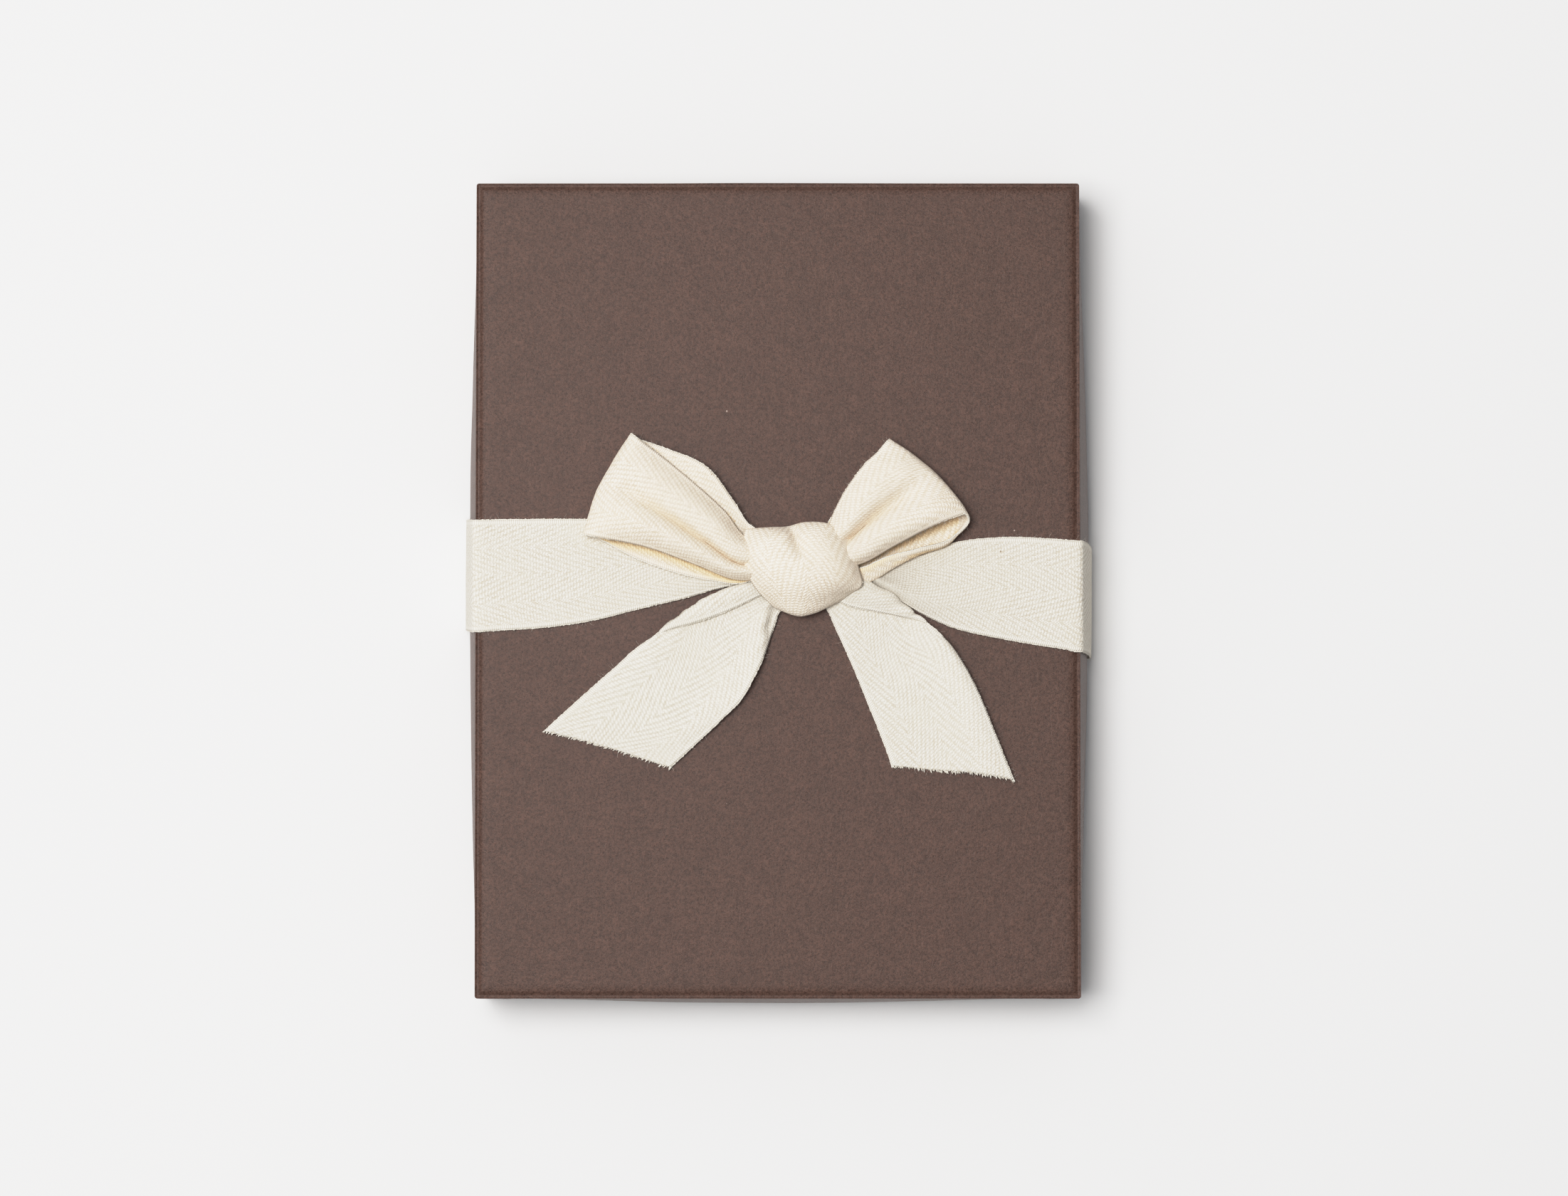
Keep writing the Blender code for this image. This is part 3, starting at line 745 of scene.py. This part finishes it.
def warm_light(grid, reach, turn):
    """How warmly each point is lit: fully under a higher layer of the same cloth, less beyond its edge.

    Rows past the turn are the upper layer, whose creases glow only faintly."""
    points = grid.reshape(-1, 3)
    others = grid[::2, ::2].reshape(-1, 3)
    last = int(turn * len(grid)) * grid.shape[1]
    glow = np.zeros(len(points))
    for i, point in enumerate(points):
        above = others[others[:, 2] > point[2] + LAYER_GAP]
        if len(above) == 0:
            continue
        gaps = above[:, :2] - point[:2]
        nearest = int((gaps ** 2).sum(axis=1).argmin())
        gap = math.hypot(*gaps[nearest])
        if i >= last:
            glow[i] = CREASE_GLOW * clamp(1.6 - gap / CREASE_REACH)
        elif gaps[nearest][1] < 0.0:
            glow[i] = FAR_GLOW * clamp(1.25 - gap / (FAR_REACH * reach))
        else:
            glow[i] = clamp(1.25 - gap / reach)
    return glow.reshape(grid.shape[:2])


def add_cloth(name, rows, seed, node, held, rests_on, size=0.0001, way=1.0, reach=None, turn=1.0, stack=0.0):
    """Build one stretch of tape and note what it is."""
    grid = uneven(cloth_grid(place_on_lid(rows)), seed, size)
    glow = warm_light(grid, reach, turn) if reach else np.zeros(grid.shape[:2])
    obj, length = make_cloth(name, grid, glow, stack, way)
    CLOTHS[name] = {"obj": obj, "grid": grid, "length": length, "node": node, "held": held,
                    "rests_on": rests_on}
    widths = [np.linalg.norm(np.diff(row, axis=0), axis=1).sum() / MM for row in grid]
    print(name, "length", round(length / MM, 1), "mm, width from", round(min(widths), 1), "to",
          round(max(widths), 1), "mm")


# %% [markdown]
# ## The two bands
# The tape runs from the knot to each side of the lid, is drawn a little together where it enters the
# knot, goes over the edge, down the bowed wall and in under the rim.

# %% The two bands
LIFT = 0.55  # middle of the cloth above what it lies on, in millimetres
BAND_SLOPE = 0.052  # how far a band drifts sideways for each millimetre down the wall


def wall_lane(side, y):
    """The tape's route over the lid's edge and down the wall at one place y, in millimetres."""
    edge = LID_WIDTH / 2 / MM
    depth = TOP - RIM

    def out(down):
        return edge + long_bow(side, y * MM) * wall_lean(wall_fall(down)) / MM

    route = [(edge - 0.9, 0.40), (edge - 0.2, 0.30), (edge + 0.28, -0.02), (out(0.0008) + 0.46, -0.8)]
    for down in (0.003, 0.006, 0.010, 0.014, 0.018, 0.0208):
        route.append((out(down) + LIFT, -down / MM))
    base = depth / MM
    rim_x = out(depth)
    route += [(rim_x + 0.36, -base - 0.05), (rim_x - 0.1, -base - 0.42), (rim_x - 1.7, -base - 0.45),
              (rim_x - 2.35, -base - 0.15), (rim_x - 2.55, -base + 0.5), (rim_x - 2.75, -base + 3.5),
              (out(0.015) - 2.8, -base + 7.0)]
    return [(side * x, z) for x, z in route]


def band_rows(side, near, edge_low, edge_high):
    """Rows from the knot outward: drawn rows on the panel, then the route down the wall."""
    rows = list(near)
    lanes = len(near[-1])
    heights = [edge_low + (edge_high - edge_low) * i / (lanes - 1) for i in range(lanes)]
    for step in zip(*(wall_lane(side, y) for y in heights)):
        rows.append([(x, y - side * BAND_SLOPE * abs(z), z) for y, (x, z) in zip(heights, step)])
    return rows


LEFT_BAND = drawn("""
-1.5,2.4,1 -1.5,4,1.5 -1.5,5.4,.9 -1.5,7.2,1.4 -1.5,8.6,.8 -1.5,10,1 -1.5,11,.8;
-7.5,1.5,1 -7.5,3.2,1.7 -7.5,4.8,.8 -7.5,6.6,.9 -7.5,8.4,.6 -7.5,10.2,.8 -7.5,11.6,.6;
-13.5,.3,.7 -13.5,2.2,1.3 -13.5,4.6,.6 -13.5,7,.8 -13.5,9.2,.5 -13.5,11.4,.7 -13.5,13,.5;
-21,-1.8,.6 -21,1,.95 -21.2,4,.6 -21.3,7,.6 -21.3,9.8,.5 -21.3,12.4,.55 -21.3,14.6,.5;
-31.5,-4.3,.5 -31.7,-.8,.7 -32,2.8,.55 -32.2,6.2,.5 -32.3,9.6,.5 -32.3,12.8,.5 -32.3,15.6,.5;
-42,-6.9,.45 -42.2,-3,.5 -42.5,.9,.5 -42.6,4.8,.45 -42.6,8.6,.45 -42.6,12.3,.5 -42.6,15.9,.45;
-54,-8.6,.45 -54.2,-4.5,.5 -54.3,-.4,.45 -54.4,3.7,.45 -54.4,7.8,.45 -54.4,11.9,.45 -54.4,15.9,.45;
-63.5,-9.2,.45 -63.5,-5,.45 -63.5,-.8,.45 -63.5,3.3,.45 -63.5,7.5,.45 -63.5,11.6,.45 -63.5,15.8,.45
""")
RIGHT_BAND = drawn("""
12,1.4,1 12,2.6,1.4 12,3.8,.9 12,5,1.3 12,6.2,.8 12,7.2,1.1 12,8.2,.8;
20.4,2.2,1 20.4,3,1.8 20.4,3.8,1 20.4,4.6,1.3 20.4,5.5,.9 20.4,6.3,1 20.4,7,.8;
26.2,-1.4,.8 26.2,.6,2 26.4,2.4,1.2 26.6,3.6,.9 26.8,4.8,.8 27,5.8,.8 27,6.8,.7;
32.4,-5.2,.6 32.4,-2.4,1.6 32.6,.2,1.5 33,2.4,.9 33.2,4.4,.7 33.4,6.2,.7 33.6,8.1,.6;
39.4,-8.4,.5 39.4,-5,.9 39.6,-1.8,1.4 39.8,1.4,.9 40,4.6,.6 40.2,7.6,.6 40.2,10.5,.6;
50,-10.9,.45 50,-7,.6 50,-3.2,.8 50,.5,.7 50,4.3,.5 50,8,.5 50,11.7,.5;
59.6,-12.6,.45 59.5,-8.5,.45 59.5,-4.5,.5 59.5,-.5,.5 59.5,3.5,.45 59.5,7.5,.45 59.5,11.6,.5;
65,-13.4,.45 65,-9.3,.45 65,-5.2,.45 65,-1.1,.45 65,3,.45 65,7.1,.45 65,11.2,.45
""")


LEFT_ROWS = band_rows(-1, LEFT_BAND, -9.5, 15.7)
RIGHT_ROWS = band_rows(1, RIGHT_BAND, -14.0, 11.0)
add_cloth("tape_left", LEFT_ROWS, 1.0, "tape_band_left", "stretched", ["lid_cover"], 0.00004)
add_cloth("tape_right", RIGHT_ROWS, 2.0, "tape_band_right", "stretched", ["lid_cover"], 0.00004, -1.0)

# %% [markdown]
# ## The loops
# Each loop goes out from the knot low over the lid, turns round a soft fold and comes back higher up. Near
# the knot the tape is squeezed to less than half its width, so it stands in pleats: the rows there rise and
# fall across the tape, and flatten towards the fold.

# %% The loops
LEFT_LOOP = drawn("""
-1,4,2.6 -1,5.6,1.9 -1,7.4,2.8 -1,9.2,2 -1,11,2.6;
-8,1.5,1.9 -7.9,2.8,1.8 -7.8,4.4,1.7 -7.5,7.6,2.4 -7.2,11.6,2.2 -6.6,14.8,3.2;
-14.8,2.1,1.7 -15,3.6,1.6 -15.2,5.6,1.5 -15.2,12.2,1.6 -12.9,18.6,3.2 -10,19.8,3.2;
-22.6,3.8,1.6 -23.1,5.4,1.5 -23.6,7.2,1.4 -23.4,15.8,1.5 -19.2,25,3.3 -16,27.5,3.2;
-32.6,7.4,1.6 -32.9,9.8,1.5 -33.2,13,1.4 -32,21,1.5 -29.4,28.2,2.4 -25.8,32,3;
-41.4,11.8,2.2 -41.2,13.4,1.7 -40.4,17.2,1.6 -38.6,22.2,1.6 -36,28,1.7 -32.2,34.4,2;
-43.7,12.4,3.3 -43.3,14.2,3.2 -42.4,17.6,3.2 -40.7,22.6,3 -37.6,28.2,3.1 -33.2,35.2,3.2;
-41.8,12,4.5 -41.3,14.2,4.9 -40.6,17.2,5.1 -39.8,19.8,5.1 -38.6,22.6,4.8 -37,26.2,5 -35.2,30,4.8
  -32.2,34.4,4.3;
-35.4,10.9,4.3 -35,13.2,6.2 -34.5,16.4,7 -34,19.4,6.2 -33.5,21.6,4.7 -32.2,24.4,6.3 -30.6,27.8,5.8
  -28.4,31.6,3.8;
-27.4,9,4 -26.7,10.8,6.3 -26,12.8,7.5 -25.4,14.8,6.4 -25,16.3,4.3 -23.8,18.2,6.8 -22,21.2,6.7
  -19.4,24.2,4.15;
-18,5.5,3.7 -17.6,6.8,6.2 -17.2,8.2,7.3 -16.8,9.6,6.2 -16.5,10.6,4.2 -15.6,12.3,7 -14.2,14.9,6.9
  -12.2,17.6,4.1;
-8.4,2.2,3.6 -8.4,3.2,5.8 -8.3,4,6.6 -8.2,4.8,5.8 -8.1,5.4,4.2 -7.9,7,6.8 -7.5,9.2,6.6 -6.9,11.2,4.1;
-1,3,4.4 -1,4,5.4 -1,5,5.4 -1,6,4.4 -1,7.6,5.8 -1,9.2,4.8
""")
RIGHT_LOOP = drawn("""
11,4,2.4 11,5.6,1.8 11,7.4,2.6 11,9.2,1.9 11,11,2.4;
18.4,4.7,3.5 18.8,1.7,2 17.9,4.5,1.5 16.4,8,2.1 14.4,11.5,1.8 11.4,14.9,2.4;
24.6,7.2,3.9 26,4.9,2.2 24.8,8.2,1.4 22.5,13,1.5 19.5,17,1.7 14.9,19.3,1.8;
32.2,9.2,4.1 32.6,8.2,2.2 31.6,11.8,1.4 28.6,17.6,1.5 24.2,22.4,1.6 18.2,25.2,1.7;
39.4,11.5,3.8 39.6,11.2,2.4 38.6,15.4,1.6 34.8,22,1.6 29.4,27,1.7 22.4,30.4,1.9;
43.2,15.4,4.2 42.6,17,3.5 41,19.4,3.3 37.2,24.4,3.3 31.7,29.4,3.3 25.3,33.8,3.2;
42.4,16.9,6 41.1,19.1,6 39.3,21.6,5.9 36.5,24.4,5.6 33.6,27.1,5.3 30.9,29.2,5.1 28.2,31.4,4.9 24.7,33.3,4.5;
39.6,16.1,6.9 38.7,18.2,7.3 37.2,20.6,7.2 35.2,22.9,6.6 33.2,24.9,6.2 30.4,27,6.4 27,29.4,6 22.9,31.2,4.7;
34,13.8,6.7 33,15.6,8.1 31.4,17.5,8 29.4,19.3,6.5 27.8,20.5,5 25.8,22.6,6.9 23.2,25.6,6.9 19.9,28.3,4.9;
27,10.2,5.7 26,11.9,7.8 24.6,13.6,8 22.9,15.1,6.4 21.8,15.9,4.2 20.2,18.2,7.1 18,20.8,6.9 15.6,22.6,4.8;
18.7,5.9,4.6 18.4,7.6,7 17.7,9.3,7.1 16.9,10.6,5.8 16.4,11.3,3.8 15.2,12.9,6.6 13.8,14.3,6.4 12,15.2,4.6;
11,4.4,4.4 11,5.4,5.6 11,6.4,5.4 11,7.4,4.4 11,8.8,5.8 11,10.2,4.6
""")
# stack=1.0 paints the loops brighter and warmer, as painted light
add_cloth("loop_left", LEFT_LOOP, 11.0, "bow_loop_left", "folded", ["tape_left"],
          reach=0.0020, turn=0.49, stack=1.0)
add_cloth("loop_right", RIGHT_LOOP, 12.0, "bow_loop_right", "folded", ["tape_right"],
          reach=0.0022, turn=0.47, stack=1.0)

# %% [markdown]
# ## The tails
# The tails leave the knot downward, spread out to the tape's full width and lie on the lid. One edge of
# each is turned over near the knot. Their ends are cut slantwise.

# %% The tails
LEFT_TAIL = drawn("""
2,1.2,2.4 1.6,2.4,2.5 1.2,3.6,2.1 1.6,2.4,1.4 2.2,1.2,1.3 3,0,2 3.8,-1.2,1.3 4.6,-2.4,1.2;
-3.8,-1.2,2.1 -4.6,.2,2.6 -5.2,1.6,2.3 -4.4,-.2,1.5 -3.2,-2,1.3 -2.2,-3.3,2.4 -1,-4.2,1.3 .4,-5,1.2;
-10,-4.2,1.85 -11.2,-2,2.3 -12.2,-.1,1.9 -11,-2,1.2 -8.8,-4.8,1 -5.8,-6.5,1.4 -3.2,-7.4,2.5 -2.2,-8.1,1.2
  -.9,-8.4,.9;
-16,-6.6,1.75 -17,-4.6,2.1 -17.8,-2.9,1.7 -16.8,-4.8,1.1 -14,-8,.9 -10.4,-10.2,1 -6.6,-11.2,1.4
  -3.2,-11.8,2.2 -2.3,-12.4,1;
-19.8,-7.8,1.7 -20.6,-6.3,2 -21.1,-5,1.7 -20,-6.7,1.1 -16.4,-10.2,.9 -12,-12.3,.9 -7.6,-13.3,1.2
  -3.9,-13.7,2.3 -2.9,-14.2,1.7;
-24.2,-9,1.5 -24.6,-8.2,1.8 -24.5,-7.5,1.6 -22,-9.6,1 -17.8,-12.6,.8 -13.2,-14.5,.9 -8.8,-15.4,1.1
  -4.8,-15.6,2.3 -3.5,-15.9,2.1;
-30.7,-12.4,.8 -27.8,-14.3,1.2 -23.8,-16.4,.9 -19,-18.1,.8 -14.2,-19.1,.9 -9.6,-19.6,1.8 -5.4,-19.8,2.7;
-37.1,-17.9,.6 -33.2,-19.6,.8 -28.4,-21.6,.6 -23,-23.2,.7 -17.6,-24.1,.8 -12.4,-24.4,1.5
  -7.9,-24.3,2.4;
-45.2,-25.1,.55 -40.6,-26.9,.6 -35.2,-28.8,.5 -29.4,-30.3,.5 -23.6,-31.4,.6 -18.2,-31.6,1
  -13.5,-30.1,1.6;
-52.9,-32.1,.6 -48.2,-33.2,.5 -43.4,-34.4,.5 -38.6,-35.8,.5 -33.8,-37.3,.5 -29,-38.9,.6
  -24.4,-40.3,.7
""")
RIGHT_TAIL = drawn("""
7,-1,1.4 8,.2,1.3 9.4,1.6,1.3 11,3,1.4 12.4,4.2,2 11.6,3.2,2.8 10.4,1.8,3 9.4,.6,2.6;
11.2,-4.5,1.1 13,-3.6,1.2 15.4,-1.9,1.3 18.2,.2,1.4 20.6,1.7,2.1 19.4,.5,2.8 17.4,-1.6,2.6 15.6,-3.5,2;
13.4,-9.2,.8 16,-8,1 19.2,-5.6,1.1 22.8,-2.8,1.3 26.4,-1.4,2 25.6,-2.2,2.7 24,-3.6,2.4 22.2,-4.9,1.85;
15.6,-14,.7 18.8,-12.4,.8 22.2,-9.8,.9 25.8,-6.8,1.1 30,-4.6,1.8 30.2,-4.9,2.6 29.2,-5.6,2.4 28.2,-6,1.9;
17,-17.2,.65 20.8,-15,.7 24.6,-12.2,.8 28.4,-8.8,1.1 31.6,-6.4,2 32.6,-6.6,2.7 32.2,-6.9,2.7;
18,-19.6,.65 22,-17.4,.7 26.2,-14.6,.8 30,-11.6,1.1 33,-8.8,2 34.6,-8.3,2.6;
20.2,-25,.6 24.4,-23,.6 28.4,-20.8,.7 32.2,-18.2,1 35.6,-15.2,1.8 38.4,-12.7,3 39.4,-13.2,2.2;
23.2,-32.4,.55 27.6,-30.6,.5 32,-28.6,.6 36.2,-26.4,.9 40,-24,1.8 43.2,-22,2.8 44.9,-22.4,2.3;
25,-37.2,.55 29.6,-36.6,.5 34.4,-35.8,.6 39,-34.8,.9 43.2,-33.6,1.6 47,-32.4,2.3 49.4,-33.2,2;
25.9,-39.9,.6 30.6,-40.4,.5 35.4,-40.9,.6 40,-41.2,.8 44.6,-41.6,1.2 49.2,-42.3,1.6 53.4,-43.2,1.6
""")
add_cloth("tail_left", LEFT_TAIL, 21.0, "bow_tail_left", "laid", ["lid_cover"], way=-1.0)
add_cloth("tail_right", RIGHT_TAIL, 22.0, "bow_tail_right", "laid", ["lid_cover"])

# %% [markdown]
# ## The knot
# The knot is the tape itself, passed once round the middle: it comes up behind, arches over and goes down
# in front, full width at the back and squeezed at the front, with a pinch at the back where it folds.

# %% The knot
KNOT = drawn("""
-3.6,10,1 -1.6,10.4,1.2 1.6,10.6,1.2 4.8,10.4,1.2 8,10.6,1.2 11,10.4,1.2 13,9.6,1;
-6.2,12.6,1.8 -4,13.2,2.4 -.8,13.4,2.5 2.4,13.6,2 5.6,14.1,2.2 9.6,14.1,2.6 13,13.2,2.4 15,11.6,1.8;
-7.3,13.3,3.4 -4.4,13.5,4.6 -1,13.7,5 2.4,13.9,3.9 5.6,14.7,4.8 9.6,14.7,5.4 13.2,13.9,4.8 15.9,11.9,3.4;
-7.7,11.2,4.2 -4.8,11.6,6.6 -1.4,12,7.7 2,12.2,7.3 3.7,11.9,5.4 6.2,12.5,7.7 10.8,12.4,7.7 13.8,11.6,6.4
  16.6,10,4;
-7.8,8.6,4.6 -4.8,9,7.9 -1.2,9.4,9.1 2.4,9.5,9.1 4.7,9.2,7.5 7,9.5,9.1 11.4,9.2,9.1 14.6,8.7,7.4
  17.3,7.7,4.4;
-7.4,5,4.6 -4.2,5.4,8.2 -.2,5.7,9.7 4.2,5.7,9.9 8.4,5.5,10 12.6,5.2,9.3 16,4.7,7.2 18.4,3.9,4.2;
-5.6,1.4,4.2 -2.6,1.6,7.4 1,1.5,9.1 4.8,1.3,9.5 8.6,1.2,9.3 12.6,1.3,8.3 16.2,1.4,6.3 19,1,3.8;
-2.8,-1.9,3.4 -.6,-2,5.6 2,-2.5,6.9 5,-2.8,7.2 7.9,-2.7,7 11,-2.1,6.1 14,-1.3,4.8 16.8,-.5,3.2;
.4,-4.3,2.2 1.8,-5,3.4 3.4,-5.6,4 5.1,-5.9,4.2 7,-5.6,4.1 9,-5,3.7 11,-4,3 12.8,-3,2.2;
1.6,-4,1.2 2.8,-4.6,1.6 4,-5,1.7 5.2,-5.2,1.8 6.8,-4.9,1.7 8.6,-4.4,1.6 10.4,-3.6,1.4 11.8,-2.8,1.2;
2.4,-1,.9 3.4,-1.2,.9 4.4,-1.4,.9 5.4,-1.4,.9 7,-1.2,.9 8.8,-1,.9 10.4,-.8,.9
""")
# stack=1.0 paints the knot brighter and warmer, as painted light
add_cloth("knot_wrap", KNOT, 31.0, "bow_knot", "gathered", ["loop_left", "loop_right"], 0.00014, stack=1.0)


CORE_CENTRE = Vector((0.0052, 0.0048, TOP + 0.0043))
CORE_RADII = Vector((0.0096, 0.0068, 0.0034))


def make_knot_core():
    """The gathered tape inside the knot, seen only between the folds."""
    bm = bmesh.new()
    bmesh.ops.create_icosphere(bm, subdivisions=4, radius=1.0)
    for vert in bm.verts:
        pleat = 1.0 + 0.06 * math.sin(vert.co.y * 9.0) * (1.0 - abs(vert.co.x))
        vert.co = CORE_CENTRE + CORE_RADII * vert.co * Vector((1.0, pleat, pleat))
    mesh = bpy.data.meshes.new("knot_core")
    bm.to_mesh(mesh)
    bm.free()
    mesh.materials.append(YARN)
    mesh.shade_smooth()
    core = add_object("knot_core", mesh)
    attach(core, "lid")
    return core


KNOT_CORE = make_knot_core()
print("knot core faces", len(KNOT_CORE.data.polygons))

# %% [markdown]
# ## Corded edges, cut ends and fuzz
# Three things repeat along the tape: the turns of the crossing yarn that bead each edge, the short yarn
# ends along a slanting cut, and fine loose fibres. One Geometry Nodes tree makes all three. It walks along
# an edge, places a short tapered yarn at every step, aims it by a stored direction and varies it by seed.

# %% A tree that sets short yarns along an edge
ANY_TURN = 3.1  # radians either way about a yarn's own axis


def yarn_tree():
    """Short tapered yarns along a line, aimed by the line's own stored direction."""
    tree = bpy.data.node_groups.new("yarns_along_edge", "GeometryNodeTree")
    face = tree.interface
    face.new_socket("Geometry", in_out="INPUT", socket_type="NodeSocketGeometry")
    for name in ("Spacing", "Length", "Radius", "Bend", "Spread", "Smallest", "Largest"):
        face.new_socket(name, in_out="INPUT", socket_type="NodeSocketFloat")
    for name in ("Sides", "Seed"):
        face.new_socket(name, in_out="INPUT", socket_type="NodeSocketInt")
    face.new_socket("Yarn", in_out="INPUT", socket_type="NodeSocketMaterial")
    face.new_socket("Geometry", in_out="OUTPUT", socket_type="NodeSocketGeometry")

    def add(kind, links=None, **settings):
        node = tree.nodes.new(kind)
        for key, value in settings.items():
            setattr(node, key, value)
        for key, value in (links or {}).items():
            if isinstance(value, bpy.types.NodeSocket):
                tree.links.new(value, node.inputs[key])
            else:
                node.inputs[key].default_value = value
        return node.outputs

    def calc(operation, *values):
        return add("ShaderNodeMath", dict(enumerate(values)), operation=operation)[0]

    given = add("NodeGroupInput")
    line = add("GeometryNodeMeshToCurve", {"Mesh": given["Geometry"]})["Curve"]
    spaced = {"Curve": line, "Length": given["Spacing"]}
    steps = add("GeometryNodeResampleCurve", spaced, mode="LENGTH")["Curve"]
    middle = add("ShaderNodeCombineXYZ", {0: given["Bend"], 2: calc("MULTIPLY", given["Length"], 0.5)})[0]
    tip = add("ShaderNodeCombineXYZ", {2: given["Length"]})[0]
    bent = {"Resolution": 5, "Start": (0.0, 0.0, 0.0), "Middle": middle, "End": tip}
    spine = add("GeometryNodeCurveQuadraticBezier", bent)["Curve"]
    share = add("GeometryNodeSplineParameter")["Factor"]
    swell = calc("SINE", calc("MULTIPLY", share, math.pi))
    taper = calc("MULTIPLY_ADD", swell, 0.72, 0.28)
    spine = add("GeometryNodeSetCurveRadius", {"Curve": spine, "Radius": taper})["Curve"]
    circle = {"Resolution": given["Sides"], "Radius": given["Radius"]}
    ring = add("GeometryNodeCurvePrimitiveCircle", circle)["Curve"]
    swept = {"Curve": spine, "Profile Curve": ring, "Scale": taper, "Fill Caps": True}
    yarn = add("GeometryNodeCurveToMesh", swept)["Mesh"]
    aim = add("GeometryNodeInputNamedAttribute", {"Name": "aim"}, data_type="FLOAT_VECTOR")["Attribute"]
    facing = add("FunctionNodeAlignRotationToVector", {"Vector": aim}, axis="Z")["Rotation"]
    least = calc("MULTIPLY", given["Spread"], -1.0)
    low = add("ShaderNodeCombineXYZ", {0: least, 1: least, 2: -ANY_TURN})[0]
    high = add("ShaderNodeCombineXYZ", {0: given["Spread"], 1: given["Spread"], 2: ANY_TURN})[0]
    spread = {"Min": low, "Max": high, "Seed": given["Seed"]}
    turn = add("FunctionNodeRandomValue", spread, data_type="FLOAT_VECTOR")[0]
    turn = add("FunctionNodeEulerToRotation", {"Euler": turn})[0]
    turned = {"Rotation": facing, "Rotate By": turn}
    turned = add("FunctionNodeRotateRotation", turned, rotation_space="LOCAL")[0]
    sizes = {2: given["Smallest"], 3: given["Largest"], "Seed": given["Seed"]}
    size = add("FunctionNodeRandomValue", sizes, data_type="FLOAT")[1]
    put = {"Points": steps, "Instance": yarn, "Rotation": turned, "Scale": size}
    placed = add("GeometryNodeInstanceOnPoints", put)["Instances"]
    real = add("GeometryNodeRealizeInstances", {"Geometry": placed})["Geometry"]
    dyed = add("GeometryNodeSetMaterial", {"Geometry": real, "Material": given["Yarn"]})["Geometry"]
    add("NodeGroupOutput", {"Geometry": dyed})
    return tree


YARN_TREE = yarn_tree()


def yarns(name, lines, values):
    """Run the tree on polylines of (points, directions) and keep the result as a plain mesh."""
    verts, edges, aims = [], [], []
    for points, directions in lines:
        start = len(verts)
        verts += [tuple(point) for point in points]
        aims += [tuple(direction) for direction in directions]
        edges += [(start + i, start + i + 1) for i in range(len(points) - 1)]
    mesh = bpy.data.meshes.new(name + "_line")
    mesh.from_pydata(verts, edges, [])
    aim = mesh.attributes.new("aim", "FLOAT_VECTOR", "POINT")
    aim.data.foreach_set("vector", np.array(aims).ravel())
    obj = add_object(name, mesh)
    run = obj.modifiers.new("yarns", "NODES")
    run.node_group = YARN_TREE
    inputs = [item for item in YARN_TREE.interface.items_tree if item.in_out == "INPUT"]
    sockets = {item.name: item.identifier for item in inputs}
    for key, value in values.items():
        run[sockets[key]] = value
    run[sockets["Yarn"]] = YARN
    seen = obj.evaluated_get(bpy.context.evaluated_depsgraph_get())
    made = bpy.data.meshes.new_from_object(seen)
    obj.modifiers.remove(run)
    obj.data = made
    made.name = name
    made.shade_smooth()
    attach(obj, "lid")
    return obj


# %% Beads along every edge, tufts along the cuts, loose fibres
BEAD = {"Spacing": 0.00042, "Length": 0.00060, "Radius": 0.00025, "Bend": 0.0, "Spread": 0.16,
        "Smallest": 0.9, "Largest": 1.1, "Sides": 5}
TUFT = {"Spacing": 0.00024, "Length": 0.00085, "Radius": 0.00013, "Bend": 0.00015, "Spread": 0.42,
        "Smallest": 0.55, "Largest": 1.35, "Sides": 4, "Seed": 5}
FIBRE = {"Spacing": 0.00085, "Length": 0.0014, "Radius": 0.000013, "Bend": 0.00045, "Spread": 1.1,
         "Smallest": 0.4, "Largest": 1.3, "Sides": 3, "Seed": 8}
BEAD_LIFT = np.array((0.0, 0.0, 0.00010))
BEAD_INSET = 0.00012  # how far inside the edge a bead starts
BEAD_SLANT = 0.45  # how far a bead leans outwards as it runs along the edge
TUFT_INSET = 0.0003  # how far inside the cut the tufts start
FIBRE_RISE = Vector((0, 0, 0.5))
KNOT_HIDDEN = 0.10  # share of the knot's tape that is out of sight at each of its two ends


def unit(vectors):
    return vectors / (np.linalg.norm(vectors, axis=-1, keepdims=True) + 1e-12)


def edge_lines(grid):
    """Both long edges of a cloth, as points with outward and running directions."""
    lines = []
    for lane, inner in ((0, 2), (-1, -3)):
        points = grid[:, lane]
        lines.append((points, unit(points - grid[:, inner]), unit(np.gradient(points, axis=0))))
    return lines


def cut_line(grid):
    """The cut end of a cloth, as points with outward directions."""
    return grid[-1], unit(grid[-1] - grid[-4])


for name, cloth in CLOTHS.items():
    grid = cloth["grid"]
    hidden = int(len(grid) * KNOT_HIDDEN) if name == "knot_wrap" else 0
    long_edges = edge_lines(grid[hidden:len(grid) - hidden])
    sloped = [(points - BEAD_INSET * outward + BEAD_LIFT, unit(running + BEAD_SLANT * outward))
              for points, outward, running in long_edges]
    parts = [yarns("cord_of_" + name, sloped, dict(BEAD, Seed=len(name)))]
    fuzzy = [(points, unit(outward + FIBRE_RISE)) for points, outward, running in long_edges]
    if name.startswith("tail"):
        points, outward = cut_line(grid)
        parts.append(yarns("cut_of_" + name, [(points - TUFT_INSET * outward, outward)], TUFT))
        fuzzy.append((points, outward))
    parts.append(yarns("fuzz_of_" + name, fuzzy, FIBRE))
    cloth["parts"] = parts
    print(name, "edge yarns:", [len(part.data.polygons) for part in parts])

# %% [markdown]
# ## Tying the tape to the lid
# Each stretch of tape is attached to the lid, as its beads, cut yarns and fibres already are, and the
# model's plain stand-in for it is hidden.

for name, cloth in CLOTHS.items():
    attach(cloth["obj"], "lid")
    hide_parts(cloth["node"])
print("tape in all", round(sum(c["length"] for c in CLOTHS.values()), 3), "m")
